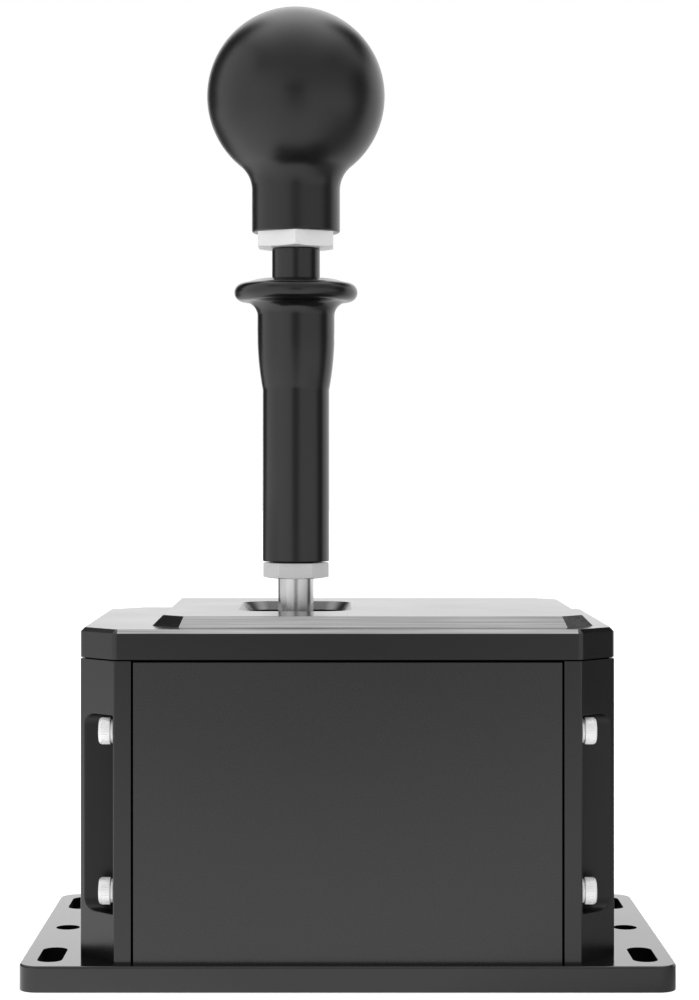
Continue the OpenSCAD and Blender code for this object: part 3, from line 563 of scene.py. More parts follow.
class Bench:
    """A mesh under work: a primitive shaped by operators. Sizes are in millimetres."""

    WIRE_SIDES = 14
    TURN_STEPS = 36
    NORMAL_WEIGHT = 50

    def __init__(self, obj: bpy.types.Object) -> None:
        """Takes an object to the bench."""
        self.obj = obj

    @classmethod
    def _added(cls, name: str, primitive: Callable[..., set], **settings: Setting) -> Bench:
        """Adds a primitive, names it and puts its place in its mesh.

        Args:
            name: The piece's name.
            primitive: The operator that adds it.
            **settings: The operator's settings, in metres.

        Returns:
            The bench that holds it.
        """
        clear_selection()
        primitive(**settings)
        obj = bpy.context.active_object
        obj.name = name
        obj.data.name = name
        hold(obj)
        bpy.ops.object.transform_apply(location=True, rotation=True, scale=True)
        return cls(obj)

    @classmethod
    def block(cls, name: str, low: Point, high: Point) -> Bench:
        """Adds a block between two corners.

        Args:
            name: The piece's name.
            low: Its lowest corner.
            high: Its highest corner.

        Returns:
            The bench that holds it.
        """
        return cls._added(
            name,
            bpy.ops.mesh.primitive_cube_add,
            size=1.0,
            location=[(a + b) / 2 * MM for a, b in zip(low, high)],
            scale=[(b - a) * MM for a, b in zip(low, high)],
        )

    @classmethod
    def bar(
        cls, name: str, low: Point, high: Point, axis: Axis, rounding: float, steps: int
    ) -> Bench:
        """Adds a block whose edges along one axis are rounded.

        Args:
            name: The piece's name.
            low: Its lowest corner.
            high: Its highest corner.
            axis: The axis that its round edges run along.
            rounding: Their radius.
            steps: Steps of each rounding.

        Returns:
            The bench that holds it.
        """
        made = cls.block(name, low, high)
        with made.editing():
            made.pick_edges(runs_along(axis))
            made.bevel(rounding, steps)
        return made

    @classmethod
    def rod(
        cls, name: str, radius: float, start: Point, end: Point, sides: int = SMALL_TURN
    ) -> Bench:
        """Adds a rod between two points.

        Args:
            name: The piece's name.
            radius: Its radius, to the corners.
            start: The middle of its first end.
            end: The middle of its last end.
            sides: Its number of sides.

        Returns:
            The bench that holds it.
        """
        first, last = Vector(start) * MM, Vector(end) * MM
        return cls._added(
            name,
            bpy.ops.mesh.primitive_cylinder_add,
            vertices=sides,
            radius=radius * MM,
            depth=(last - first).length,
            location=(first + last) / 2,
            rotation=(last - first).to_track_quat("Z", "Y").to_euler(),
        )

    @classmethod
    def turned(
        cls, name: str, profile: Profile, at: Point = (0.0, 0.0), steps: int = FULL_TURN
    ) -> Bench:
        """Draws a profile with extrusions and spins it about an upright axis.

        Args:
            name: The piece's name.
            profile: Radius and height of each point; it starts and ends on the axis,
                or ends where it starts.
            at: The axis's X and Y.
            steps: Steps of the spin.

        Returns:
            The bench that holds it.
        """
        radius, height = profile[0]
        first = ((at[0] + radius) * MM, at[1] * MM, height * MM)
        bench = cls._added(name, bpy.ops.mesh.primitive_plane_add, size=MM, location=first)
        with bench.editing("VERT"):
            bpy.ops.mesh.select_all(action="SELECT")
            bpy.ops.mesh.merge(type="CENTER")
            for (r0, z0), (r1, z1) in zip(profile, profile[1:]):
                bench.extrude((r1 - r0, 0.0, z1 - z0))
            bpy.ops.mesh.select_all(action="SELECT")
            bpy.ops.mesh.spin(
                steps=steps,
                angle=math.tau,
                center=(at[0] * MM, at[1] * MM, 0.0),
                axis=(0.0, 0.0, 1.0),
            )
        bench.close()
        return bench

    @classmethod
    def coil(
        cls,
        name: str,
        radius: float,
        wire: float,
        span: tuple[float, float],
        turns: int,
        at: Point,
    ) -> Bench:
        """Winds a wire about an upright axis with the Screw modifier.

        Args:
            name: The piece's name.
            radius: The coil's mean radius.
            wire: The wire's diameter.
            span: Lowest and highest point of the coil.
            turns: Its turns.
            at: The axis's X and Y.

        Returns:
            The bench that holds it.
        """
        bench = cls._added(
            name,
            bpy.ops.mesh.primitive_circle_add,
            vertices=cls.WIRE_SIDES,
            radius=wire / 2 * MM,
            location=(radius * MM, 0.0, (span[0] + wire / 2) * MM),
            rotation=(math.pi / 2, 0.0, 0.0),
        )
        pitch = (span[1] - span[0] - wire) / turns
        bench.modify(
            "SCREW", angle=math.tau, iterations=turns, screw_offset=pitch * MM,
            steps=cls.TURN_STEPS, render_steps=cls.TURN_STEPS, use_merge_vertices=False,
        )
        with bench.editing("EDGE"):
            bpy.ops.mesh.select_all(action="SELECT")
            bpy.ops.mesh.fill_holes(sides=0)
            bpy.ops.mesh.select_all(action="SELECT")
            bench.move((*at, 0.0))
        bench.close()
        return bench

    @contextmanager
    def editing(self, mode: str = "EDGE") -> Iterator[None]:
        """Opens edit mode on this mesh alone, with nothing selected in it.

        Args:
            mode: What is selected: VERT, EDGE or FACE.
        """
        hold(self.obj)
        bpy.ops.object.mode_set(mode="EDIT")
        bpy.ops.mesh.select_mode(type=mode)
        bpy.ops.mesh.select_all(action="DESELECT")
        yield
        bpy.ops.object.mode_set(mode="OBJECT")

    @contextmanager
    def _picking(self, mode: str) -> Iterator[bmesh.types.BMesh]:
        """Opens the mesh in edit mode to select anew.

        Args:
            mode: What is selected: EDGE or FACE.

        Yields:
            The mesh.
        """
        bpy.ops.mesh.select_mode(type=mode)
        bpy.ops.mesh.select_all(action="DESELECT")
        yield bmesh.from_edit_mesh(self.obj.data)
        bmesh.update_edit_mesh(self.obj.data)

    def pick_edges(self, test: EdgeTest) -> None:
        """Selects the edges whose two ends, in millimetres, pass a test."""
        with self._picking("EDGE") as shape:
            for edge in shape.edges:
                if test(edge.verts[0].co / MM, edge.verts[1].co / MM):
                    edge.select_set(True)

    def pick_faces(self, test: FaceTest) -> None:
        """Selects the faces whose middle, in millimetres, and normal pass a test."""
        with self._picking("FACE") as shape:
            for face in shape.faces:
                if test(face.calc_center_median() / MM, face.normal):
                    face.select_set(True)

    def bevel(self, width: float, segments: int = 1) -> None:
        """Bevels the selected edges by a width along each face."""
        bpy.ops.mesh.bevel(
            offset=width * MM, offset_type="OFFSET", segments=segments, profile=0.5, affect="EDGES"
        )

    def inset(self, width: float) -> None:
        """Insets the selected faces."""
        bpy.ops.mesh.inset(thickness=width * MM, depth=0.0)

    def extrude(self, by: Point) -> None:
        """Extrudes what is selected."""
        bpy.ops.mesh.extrude_region_move(
            TRANSFORM_OT_translate={"value": [step * MM for step in by]}
        )

    def move(self, by: Point) -> None:
        """Moves what is selected."""
        bpy.ops.transform.translate(value=[step * MM for step in by])

    def slice(self, at: Point, normal: Point) -> None:
        """Cuts the selected faces along a plane."""
        bpy.ops.mesh.bisect(plane_co=[x * MM for x in at], plane_no=normal, use_fill=False)

    def modify(self, kind: str, **settings: Setting | bpy.types.Object) -> None:
        """Adds a modifier and applies it.

        Args:
            kind: The modifier's type.
            **settings: Its settings.
        """
        hold(self.obj)
        bpy.ops.object.modifier_add(type=kind)
        modifier = self.obj.modifiers[-1]
        for name, setting in settings.items():
            setattr(modifier, name, setting)
        bpy.ops.object.modifier_apply(modifier=modifier.name)

    def combine(self, tool: Bench, how: Merge) -> None:
        """Cuts, joins or meets this mesh with another, which is used up.

        Args:
            tool: The other mesh.
            how: The way they combine.
        """
        self.modify("BOOLEAN", operation=how.value, solver="EXACT", object=tool.obj)
        tool.discard()

    def close(self) -> None:
        """Merges doubles and turns the faces outwards."""
        with self.editing("VERT"):
            bpy.ops.mesh.select_all(action="SELECT")
            bpy.ops.mesh.remove_doubles(threshold=MERGE_DISTANCE)
            bpy.ops.mesh.normals_make_consistent(inside=False)

    def soften(
        self, width: float, segments: int = 2, limit: float = 30.0, skip: EdgeTest | None = None
    ) -> None:
        """Breaks the sharp edges and smooths the shading.

        Args:
            width: The width of the broken edge.
            segments: Its segments.
            limit: The least angle of an edge that is broken, in degrees.
            skip: A test for edges that stay sharp, or none.
        """
        self.tidy(width)
        with self.editing("EDGE"):
            bpy.ops.mesh.edges_select_sharp(sharpness=math.radians(limit))
            shape = bmesh.from_edit_mesh(self.obj.data)
            for edge in shape.edges:
                if skip and edge.select and skip(edge.verts[0].co / MM, edge.verts[1].co / MM):
                    edge.select_set(False)
            bmesh.update_edit_mesh(self.obj.data)
            bpy.ops.transform.edge_bevelweight(value=1.0)
        self.modify(
            "BEVEL", width=width * MM, segments=segments, limit_method="WEIGHT",
            use_clamp_overlap=True, miter_outer="MITER_ARC",
        )
        self.smooth()

    def tidy(self, sliver: float = SLIVER) -> None:
        """Melts the slivers that cuts and broken edges leave.

        Args:
            sliver: The length up to which an edge counts as one.
        """
        with self.editing("VERT"):
            bpy.ops.mesh.select_all(action="SELECT")
            bpy.ops.mesh.dissolve_degenerate(threshold=sliver * MM)
            bpy.ops.mesh.select_all(action="DESELECT")

    def smooth(self, limit: float = 35.0) -> None:
        """Melts slivers, shades smooth up to an angle and weighs the normals by face area."""
        self.tidy()
        hold(self.obj)
        bpy.ops.object.shade_smooth_by_angle(angle=math.radians(limit))
        self.modify("WEIGHTED_NORMAL", keep_sharp=True, weight=self.NORMAL_WEIGHT)

    def paint(self, finish: Finish, test: FaceTest | None = None) -> None:
        """Gives the mesh a finish, or a second one to the faces that pass a test.

        Args:
            finish: The finish.
            test: The test on each face's middle and normal, or none for all.
        """
        self.obj.data.materials.append(finish.material())
        if test is None:
            return
        with self.editing("FACE"):
            self.pick_faces(test)
            self.obj.active_material_index = len(self.obj.data.materials) - 1
            bpy.ops.object.material_slot_assign()

    def copy(self, name: str, place: Matrix) -> Bench:
        """Copies the mesh to another place.

        Args:
            name: The copy's name.
            place: The move, in millimetres.

        Returns:
            The bench that holds the copy.
        """
        hold(self.obj)
        bpy.ops.object.duplicate(linked=False)
        twin = bpy.context.active_object
        twin.name = name
        twin.data.name = name
        step = place.copy()
        step.translation *= MM
        twin.matrix_world = step
        hold(twin)
        bpy.ops.object.transform_apply(location=True, rotation=True, scale=True)
        return Bench(twin)

    def discard(self) -> None:
        """Deletes the mesh."""
        hold(self.obj)
        bpy.ops.object.delete()

    def fit(self, body: Body, slot: str, *nodes: str) -> None:
        """Sets the piece on its body, in place of the nodes that it stands for.

        Args:
            body: The body that carries it.
            slot: The record's material slot; not used.
            *nodes: The nodes that it replaces.
        """
        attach(self.obj, body.value)
        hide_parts(*nodes)
        LOG.info("%s rides on %s", self.obj.name, body.value)

    def dress(self, finish: Finish, body: Body, slot: str, *nodes: str) -> None:
        """Gives the piece its finish and sets it on its body.

        Args:
            finish: The finish.
            body: The body that carries it.
            slot: The record's material slot.
            *nodes: The nodes that it replaces.
        """
        self.paint(finish)
        self.fit(body, slot, *nodes)


# Sub-assemblies


@dataclass
class Housing:
    """Base plate, walls, top plate and their screws."""

    base: Point = (170.0, 102.0, 6.8)
    base_corner: float = 5.0
    base_bevel: float = 0.6
    base_edge: float = 0.15
    mount_x: float = 77.6
    slot_y: float = 36.4
    slot_width: float = 6.5
    slot_length: float = 18.5
    half_width: float = 70.0
    half_depth: float = 48.0
    wall_top: float = 85.0
    wall_edge: float = 0.25
    side_wall: float = 14.0
    panel_wall: float = 8.0
    panel_edge: float = 0.15
    panel_skin: float = 0.2
    corner_cut: float = 9.6
    seam: float = 0.55
    top_seam: float = 0.35
    seam_depth: float = 1.6
    notch_lip: float = 0.3
    notch_side: float = 0.4
    notch_below: float = 5.5
    notch_above: float = 4.3
    notch_round: float = 3.0
    notch_reach: float = 5.0
    notch_skin: float = 0.5
    rim: float = 93.15
    rim_bevel: float = 1.05
    plate_corner: float = 0.8
    plate_edge: float = 0.08
    plate_edge_limit: float = 20.0
    shadow_gap: float = 0.35
    shadow_depth: float = 1.2
    field_x: tuple[float, float] = (-51.6, 65.0)
    field_front: float = -40.0
    field_rear: float = 46.9
    field_height: float = 2.75
    field_root: float = 2.0
    field_cut: float = 7.4
    field_rear_cut: float = 5.0
    strip_lines: int = 12
    strip_depth: float = 0.03
    strip_reach: float = 4.0
    opening: tuple[float, float] = (26.5, 42.5)
    opening_round: float = 5.75
    opening_bevel: float = 2.3
    screw_heights: tuple[float, float] = (25.0, 66.6)
    screw_grip: float = 17.7
    screw_radius: float = 2.0
    screw_clearance: float = 0.2
    screw_edge: float = 0.08
    head_radius: float = 3.5
    head_height: float = 3.1
    head_round: float = 0.9
    head_break: float = 0.15
    head_sliver: float = 0.03
    edge_limit: float = 40.0
    knurl_grooves: int = 32
    knurl_wall: float = 0.06
    knurl_depth: float = 0.12
    socket_flats: float = 3.0
    socket_depth: float = 1.8
    washer_radius: float = 3.1
    washer_height: float = 0.8
    washer_round: float = 0.2
    tie: tuple[float, float] = (63.0, 32.0)
    tie_radius: float = 2.5
    tie_head: float = 5.0
    tie_drop: float = 0.2
    tie_top: float = 90.35
    tie_tip: float = 0.5
    tie_socket: float = 2.6
    tie_clearance: float = 0.2
    port_x: float = 38.0
    port_case: Point = (12.0, 16.0, 6.5)
    port_foot: float = 13.4
    port_mouth: tuple[float, float] = (8.4, 2.6)
    port_depth: float = 6.5
    port_tongue: float = 0.7
    port_clearance: float = 0.1
    port_edge: float = 0.12
    # What a test of faces allows: past a size, and in a normal's part
    reach: float = 0.1
    steep: float = 0.5
    level: float = 0.05
    slope: tuple[float, float] = (0.3, 0.95)

    def build(self) -> None:
        """Builds every piece of the housing."""
        self.base_plate()
        for sign in SIDES:
            self.side_plate(sign)
        self.front_panel()
        self.rear_panel()
        self.top_plate()
        self.corner_screws()
        self.tie_bolts()
        self.data_socket()

    def base_plate(self) -> None:
        """Slotted plate that everything stands on."""
        wide, deep, thick = self.base[0] / 2, self.base[1] / 2, self.base[2]
        plate = Bench.block("base_plate_dressed", (-wide, -deep, 0.0), (wide, deep, thick))
        with plate.editing():
            plate.pick_edges(UPRIGHT)
            plate.bevel(self.base_corner, segments=10)
            plate.pick_edges(level_at(thick))
            plate.bevel(self.base_bevel, segments=3)
        radius, half = self.slot_width / 2, self.slot_length / 2
        low, high = -PAST, thick + PAST
        for sx in SIDES:
            x = sx * self.mount_x
            plate.combine(Bench.rod("hole_cutter", radius, (x, 0, low), (x, 0, high)), Merge.CUT)
            for sy in SIDES:
                y = sy * self.slot_y
                ends = (x - radius, y - half, low), (x + radius, y + half, high)
                slot = Bench.bar("slot_cutter", *ends, Axis.Z, radius - TOUCH, CORNER)
                plate.combine(slot, Merge.CUT)
                plate.combine(self._tie_cutter(sx, sy), Merge.CUT)
        plate.soften(self.base_edge)
        plate.paint(BLACK_BASE)
        # The walls of the slots and holes get matt black: painted shade
        plate.paint(JOINT_PAINTED_SHADE, self._in_slot_painted_shade)
        plate.fit(Body.HOUSING, "base_black", "base_plate")

    def _in_slot_painted_shade(self, middle: Vector, normal: Vector) -> bool:
        """Tells whether a face of the base plate is the wall of a slot or hole, where shade is
        painted.
        """
        across = abs(abs(middle.x) - self.mount_x) < self.slot_width / 2 + self.reach
        along = abs(middle.y) < self.slot_y + self.slot_length / 2 + self.reach
        return abs(normal.z) < self.steep and across and along

    def _tie_cutter(self, sx: int, sy: int) -> Bench:
        """Countersunk hole for one tie bolt.

        Args:
            sx: The side, left or right.
            sy: The end, front or rear.

        Returns:
            The cutter.
        """
        hole, drop = self.tie_radius + self.tie_clearance, self.tie_drop
        profile = [
            (0.0, -PAST), (self.tie_head, -PAST), (self.tie_head, drop),
            (hole, drop + self.tie_head - self.tie_radius), (hole, self.base[2] + PAST),
            (0.0, self.base[2] + PAST),
        ]
        at = (sx * self.tie[0], sy * self.tie[1])
        return Bench.turned("tie_cutter", profile, at, COARSE_TURN)

    def side_plate(self, sign: int) -> None:
        """Thick wall with two cut corners and their screw notches.

        Args:
            sign: -1 for the left wall, 1 for the right one.
        """
        name = "left_side_plate" if sign < 0 else "right_side_plate"
        inner, outer = self.half_width - self.side_wall, self.half_width
        deep = self.half_depth
        ends = sorted((sign * inner, sign * outer))
        wall = Bench.block(
            f"{name}_dressed", (ends[0], -deep, self.base[2]), (ends[1], deep, self.wall_top)
        )
        with wall.editing():
            wall.pick_edges(lambda a, b: UPRIGHT(a, b) and abs(a.x - sign * outer) < TOUCH)
            wall.bevel(self.corner_cut)
        floor = outer - self.corner_cut + self.notch_lip
        low = self.screw_heights[0] - self.notch_below
        high = self.screw_heights[1] + self.notch_above
        back = deep - self.panel_wall - self.notch_side
        for end in SIDES:
            xs = sorted((sign * floor, sign * (outer + PAST)))
            ys = sorted((end * back, end * (deep + self.notch_reach)))
            ends = (xs[0], ys[0], low), (xs[1], ys[1], high)
            notch = Bench.bar("notch_cutter", *ends, Axis.X, self.notch_round, SMALL_CORNER)
            wall.combine(notch, Merge.CUT)
        wall.soften(self.wall_edge, 3, skip=level_at(self.base[2]))
        wall.paint(BLACK_POST)
        wall.paint(BLACK_NOTCH, self._in_notch)
        wall.fit(Body.HOUSING, "housing_black", name)

    def _in_notch(self, middle: Vector, normal: Vector) -> bool:
        """Tells whether a face of a side plate lies in one of its notches."""
        deep, wide = self.half_depth - self.notch_skin, self.half_width - self.notch_skin
        inside = abs(middle.y) < deep and abs(middle.x) < wide
        low = self.screw_heights[0] - self.notch_below - self.reach
        high = self.screw_heights[1] + self.notch_above + self.reach
        slanted = abs(abs(normal.x) - abs(normal.y)) < self.reach
        chamfer = slanted and abs(normal.z) < self.reach
        at_floor = abs(middle.x) > self.half_width - self.corner_cut
        return inside and low < middle.z < high and at_floor and not chamfer

    def _panel(self, name: str, end: int) -> Bench:
        """Flat panel let in between the side plates, with a rebate at its sides and top.

        Args:
            name: The piece's name.
            end: -1 for the front, 1 for the rear.

        Returns:
            The bench that holds it.
        """
        half, foot = self.half_width - self.side_wall, self.base[2]
        inner, shelf = self.half_depth - self.panel_wall, self.half_depth - self.seam_depth
        back = sorted((end * inner, end * shelf))
        panel = Bench.block(name, (-half, back[0], foot), (half, back[1], self.wall_top))
        face = sorted((end * (inner + PAST), end * self.half_depth))
        raised = Bench.block(
            "panel_face", (self.seam - half, face[0], foot),
            (half - self.seam, face[1], self.wall_top - self.top_seam),
        )
        panel.combine(raised, Merge.JOIN)
        return panel

    def _dress_panel(self, panel: Bench) -> None:
        """Breaks a panel's edges, dresses its face and paints shade into its rebate."""
        panel.soften(self.panel_edge, 2, skip=level_at(self.base[2]))
        panel.paint(BLACK_PANEL)
        face = self.half_depth - self.panel_skin
        # The rebate's faces get matt black: painted shade of the seam
        panel.paint(JOINT_PAINTED_SHADE, lambda middle, normal: abs(middle.y) < face)

    def front_panel(self) -> None:
        """Panel that faces the driver."""
        panel = self._panel("front_panel_dressed", -1)
        self._dress_panel(panel)
        panel.fit(Body.HOUSING, "housing_black", "front_panel")

    def rear_panel(self) -> None:
        """Panel that faces away, with the mouth for the data socket."""
        panel = self._panel("rear_panel_dressed", 1)
        room, foot = self.port_clearance, self.port_foot
        half = self.port_case[0] / 2 + room
        mouth = Bench.block(
            "mouth_cutter",
            (self.port_x - half, self.half_depth - self.panel_wall - PAST, foot - room),
            (self.port_x + half, self.half_depth + PAST, foot + self.port_case[2] + room),
        )
        panel.combine(mouth, Merge.CUT)
        self._dress_panel(panel)
        panel.fit(Body.HOUSING, "housing_black", "rear_panel")

    def top_plate(self) -> None:
        """Top plate with its raised field, bright-cut edges, a painted highlight on the field's
        right corner facet, and the lever opening.
        """
        wide, deep, rim = self.half_width, self.half_depth, self.rim
        foot = self.wall_top + self.shadow_gap
        plate = Bench.block("top_plate_dressed", (-wide, -deep, foot), (wide, deep, rim))
        with plate.editing():
            for width, steps in ((self.corner_cut, 1), (self.plate_corner, 5)):
                plate.pick_edges(UPRIGHT)
                plate.bevel(width, steps)
            plate.pick_edges(level_at(rim))
            plate.bevel(self.rim_bevel)
            plate.pick_faces(lambda middle, normal: normal.z < -self.steep)
            plate.inset(self.shadow_depth)
            plate.extrude((0.0, 0.0, -self.shadow_gap))
        plate.combine(self._raised_field(), Merge.JOIN)
        plate.combine(self._opening_cutter(), Merge.CUT)
        with plate.editing():
            plate.pick_edges(self._at_opening)
            plate.bevel(self.opening_bevel)
            self._rule_strip(plate)
        plate.soften(self.plate_edge, 2, self.plate_edge_limit)
        plate.paint(BLACK_TOP)
        # Bright cut on the front slope and rim, and a painted highlight on the field's right
        # corner facet
        plate.paint(BRIGHT_CUT_AND_PAINTED_HIGHLIGHT, self._is_bright_cut_or_painted_highlight)
        plate.paint(DULL_CUT, self._is_dull)
        # The faces of the shadow gap get matt black: painted shade
        plate.paint(JOINT_PAINTED_SHADE, lambda middle, normal: middle.z < foot - 2 * TOUCH)
        plate.fit(Body.HOUSING, "housing_black", "top_plate")

    def _raised_field(self) -> Bench:
        """Raised field, with sloped sides and cut corners.

        Returns:
            The bench that holds it.
        """
        left, right = self.field_x
        top = self.rim + self.field_height
        root, rear = self.rim - self.field_root, self.field_rear
        raised = Bench.block("raised_field", (left, self.field_front, root), (right, rear, top))
        at_top = level_at(top)
        with raised.editing():
            raised.pick_edges(lambda a, b: UPRIGHT(a, b) and a.y < 0)
            raised.bevel(self.field_cut)
            raised.pick_edges(lambda a, b: UPRIGHT(a, b) and a.y > 0 and a.x > 0)
            raised.bevel(self.field_rear_cut)
            raised.pick_edges(lambda a, b: at_top(a, b) and (a.y + b.y) / 2 < rear - self.reach)
            raised.bevel(self.field_height)
        return raised

    def _opening_cutter(self) -> Bench:
        """Round-cornered bar that cuts the lever opening.

        Returns:
            The cutter.
        """
        x, y = LEVER_AT
        half_x, half_y = self.opening[0] / 2, self.opening[1] / 2
        low, high = self.wall_top - PAST, self.rim + self.field_height + PAST
        ends = (x - half_x, y - half_y, low), (x + half_x, y + half_y, high)
        return Bench.bar("opening_cutter", *ends, Axis.Z, self.opening_round, CORNER)

    def _near_opening(self, point: Vector, reach: float) -> bool:
        """Tells whether a point lies over the lever opening.

        Args:
            point: The point.
            reach: How far past the opening still counts.

        Returns:
            Whether it does.
        """
        return (
            abs(point.x - LEVER_AT[0]) < self.opening[0] / 2 + reach
            and abs(point.y - LEVER_AT[1]) < self.opening[1] / 2 + reach
        )

    def _at_opening(self, a: Vector, b: Vector) -> bool:
        """Tells whether an edge belongs to the opening's upper rim."""
        at_top = level_at(self.rim + self.field_height)(a, b)
        return at_top and self._near_opening(a, TOUCH) and self._near_opening(b, TOUCH)

    def _is_strip(self, middle: Vector, normal: Vector) -> bool:
        """Tells whether a face lies on the raised field's front slope."""
        sloped = normal.y < -self.steep and normal.z > self.steep
        return sloped and abs(normal.x) < self.level and middle.z > self.rim

    def _is_bright_cut_or_painted_highlight(self, middle: Vector, normal: Vector) -> bool:
        """Tells whether a face is cut bright, the front slope or the rim, or takes a painted
        highlight, the field's right corner facet.
        """
        least, most = self.slope
        if not least < normal.z < most:
            return False
        # The field's right corner facet takes the bright cut as a painted highlight; the left
        # facet, the same surface, stays black
        right = normal.x > least and normal.y < -least
        if right and middle.z > self.rim + self.reach and middle.y < 0:
            return True
        if self._is_strip(middle, normal) and middle.y < self.field_front + self.strip_reach:
            return True
        at_rim = self.rim - self.rim_bevel - self.level < middle.z < self.rim + TOUCH
        on_edge = abs(middle.y) > self.half_depth - self.rim_bevel
        return at_rim and on_edge and abs(normal.x) < self.level

    def _is_dull(self, middle: Vector, normal: Vector) -> bool:
        """Tells whether a face is cut dull: the opening's rim."""
        sloped = self.slope[0] < normal.z < self.slope[1]
        return sloped and self._near_opening(middle, self.opening_bevel + self.level)

    def _rule_strip(self, plate: Bench) -> None:
        """Rules the cutter's shallow lines along the front slope.

        Args:
            plate: The top plate, in edit mode.
        """
        way = Vector((0.0, 1.0, 1.0)).normalized()
        inward = Vector((0.0, 1.0, -1.0)).normalized() * self.strip_depth
        foot = Vector((0.0, self.field_front, self.rim))
        length = self.field_height * math.sqrt(2)
        lines = [foot + way * (length * i / self.strip_lines) for i in range(1, self.strip_lines)]
        for line in lines:
            plate.pick_faces(self._is_strip)
            plate.slice(line, way)
        for line in lines[::2]:
            plate.pick_edges(
                lambda a, b: max(abs((a - line).dot(way)), abs((b - line).dot(way))) < SLIVER
                and a.y < self.field_front + self.field_height
                and abs((a - line).dot(inward)) < TOUCH
            )
            plate.move(inward)

    def corner_screws(self) -> None:
        """Eight socket screws in the corner notches, with their washers."""
        screw, washer = self._screw(), self._washer()
        floor = self.half_width - self.corner_cut + self.notch_lip
        screw_y = self.half_depth - self.panel_wall / 2
        for sx, sy in CORNERS:
            for row, height in enumerate(self.screw_heights):
                place = Matrix.Translation((sx * floor, sy * screw_y, height))
                place = place @ Matrix.Rotation(sx * math.pi / 2, 4, "Y")
                for piece, name in ((screw, "corner_screw"), (washer, "corner_washer")):
                    copy = piece.copy(f"{name}_{self._tag(sx, sy)}{row}", place)
                    copy.fit(Body.HOUSING, "bright_steel", f"{name}s")
        screw.discard()
        washer.discard()

    @staticmethod
    def _tag(sx: int, sy: int) -> str:
        """Names a corner: left or right, front or back."""
        return f"{'lr'[sx > 0]}{'fb'[sy > 0]}"

    def _socket(self, low: float, high: float) -> Bench:
        """Six-sided bar that cuts a screw's socket between two heights."""
        corner = self.socket_flats / math.sqrt(3)
        return Bench.rod("socket_cutter", corner, (0.0, 0.0, low), (0.0, 0.0, high), 6)

    def _screw(self) -> Bench:
        """Socket screw with a knurled head, upright on its washer.

        Returns:
            The bench that holds it.
        """
        seat, top = self.washer_height, self.washer_height + self.head_height
        radius, rim, edge = self.screw_radius, self.head_radius, self.head_round
        profile = [
            (0.0, seat - self.screw_grip), (radius, seat - self.screw_grip), (radius, seat),
            (rim - self.head_break, seat), (rim, seat + self.head_break),
            *arc((rim - edge, top - edge), edge, 0.0, 90.0, 6), (0.0, top),
        ]
        screw = Bench.turned("corner_screw", profile, steps=2 * self.knurl_grooves)
        screw.combine(self._socket(top - self.socket_depth, top + PAST), Merge.CUT)
        screw.tidy(self.head_sliver)
        with screw.editing("FACE"):
            screw.pick_faces(self._in_groove)
            bpy.ops.mesh.inset(
                thickness=self.knurl_wall * MM, depth=-self.knurl_depth * MM, use_individual=True
            )
        screw.soften(self.screw_edge, 2, self.edge_limit, self._at_knurl)
        screw.paint(SCREW_STEEL)
        return screw

    def _washer(self) -> Bench:
        """Washer with its edges rounded.

        Returns:
            The bench that holds it.
        """
        bore = self.screw_radius + self.screw_clearance
        rim, top = self.washer_radius, self.washer_height
        below, above = self.head_break, self.washer_round
        profile = [
            (bore, 0.0), (rim - below, 0.0), (rim, below), (rim, top - above), (rim - above, top),
            (bore, top), (bore, 0.0),
        ]
        washer = Bench.turned("corner_washer", profile, steps=SMALL_TURN)
        washer.smooth()
        washer.paint(SCREW_STEEL)
        return washer

    def _in_groove(self, middle: Vector, normal: Vector) -> bool:
        """Tells whether a face of a screw's head is the place of a knurling groove."""
        far = math.hypot(middle.x, middle.y) > self.head_radius - self.reach
        on_side = far and abs(normal.z) < self.level
        turn = math.atan2(middle.y, middle.x) / math.tau + 1.0
        return on_side and int(turn * 2 * self.knurl_grooves) % 2 == 0

    def _at_knurl(self, a: Vector, b: Vector) -> bool:
        """Tells whether an edge belongs to the knurling of a screw's head."""
        low = self.washer_height + self.reach
        high = self.washer_height + self.head_height - self.head_round + self.reach
        inside = low < a.z < high and low < b.z < high
        return inside and math.hypot(a.x, a.y) > self.head_radius - 2 * self.head_break

    def tie_bolts(self) -> None:
        """Four long bolts from under the base plate into the top plate."""
        head, radius, drop = self.tie_head, self.tie_radius, self.tie_drop
        top, tip = self.tie_top, self.tie_tip
        profile = [
            (0.0, drop), (head, drop), (radius, drop + head - radius), (radius, top - tip),
            (radius - tip, top), (0.0, top),
        ]
        bolt = Bench.turned("tie_bolt", profile, steps=COARSE_TURN)
        bolt.combine(self._socket(-PAST, self.tie_socket), Merge.CUT)
        bolt.soften(self.screw_edge, 1, self.edge_limit)
        bolt.paint(DARK_STEEL)
        for sx, sy in CORNERS:
            place = Matrix.Translation((sx * self.tie[0], sy * self.tie[1], 0.0))
            copy = bolt.copy(f"tie_bolt_{self._tag(sx, sy)}", place)
            copy.fit(Body.HOUSING, "dark_steel", "tie_bolts")
        bolt.discard()

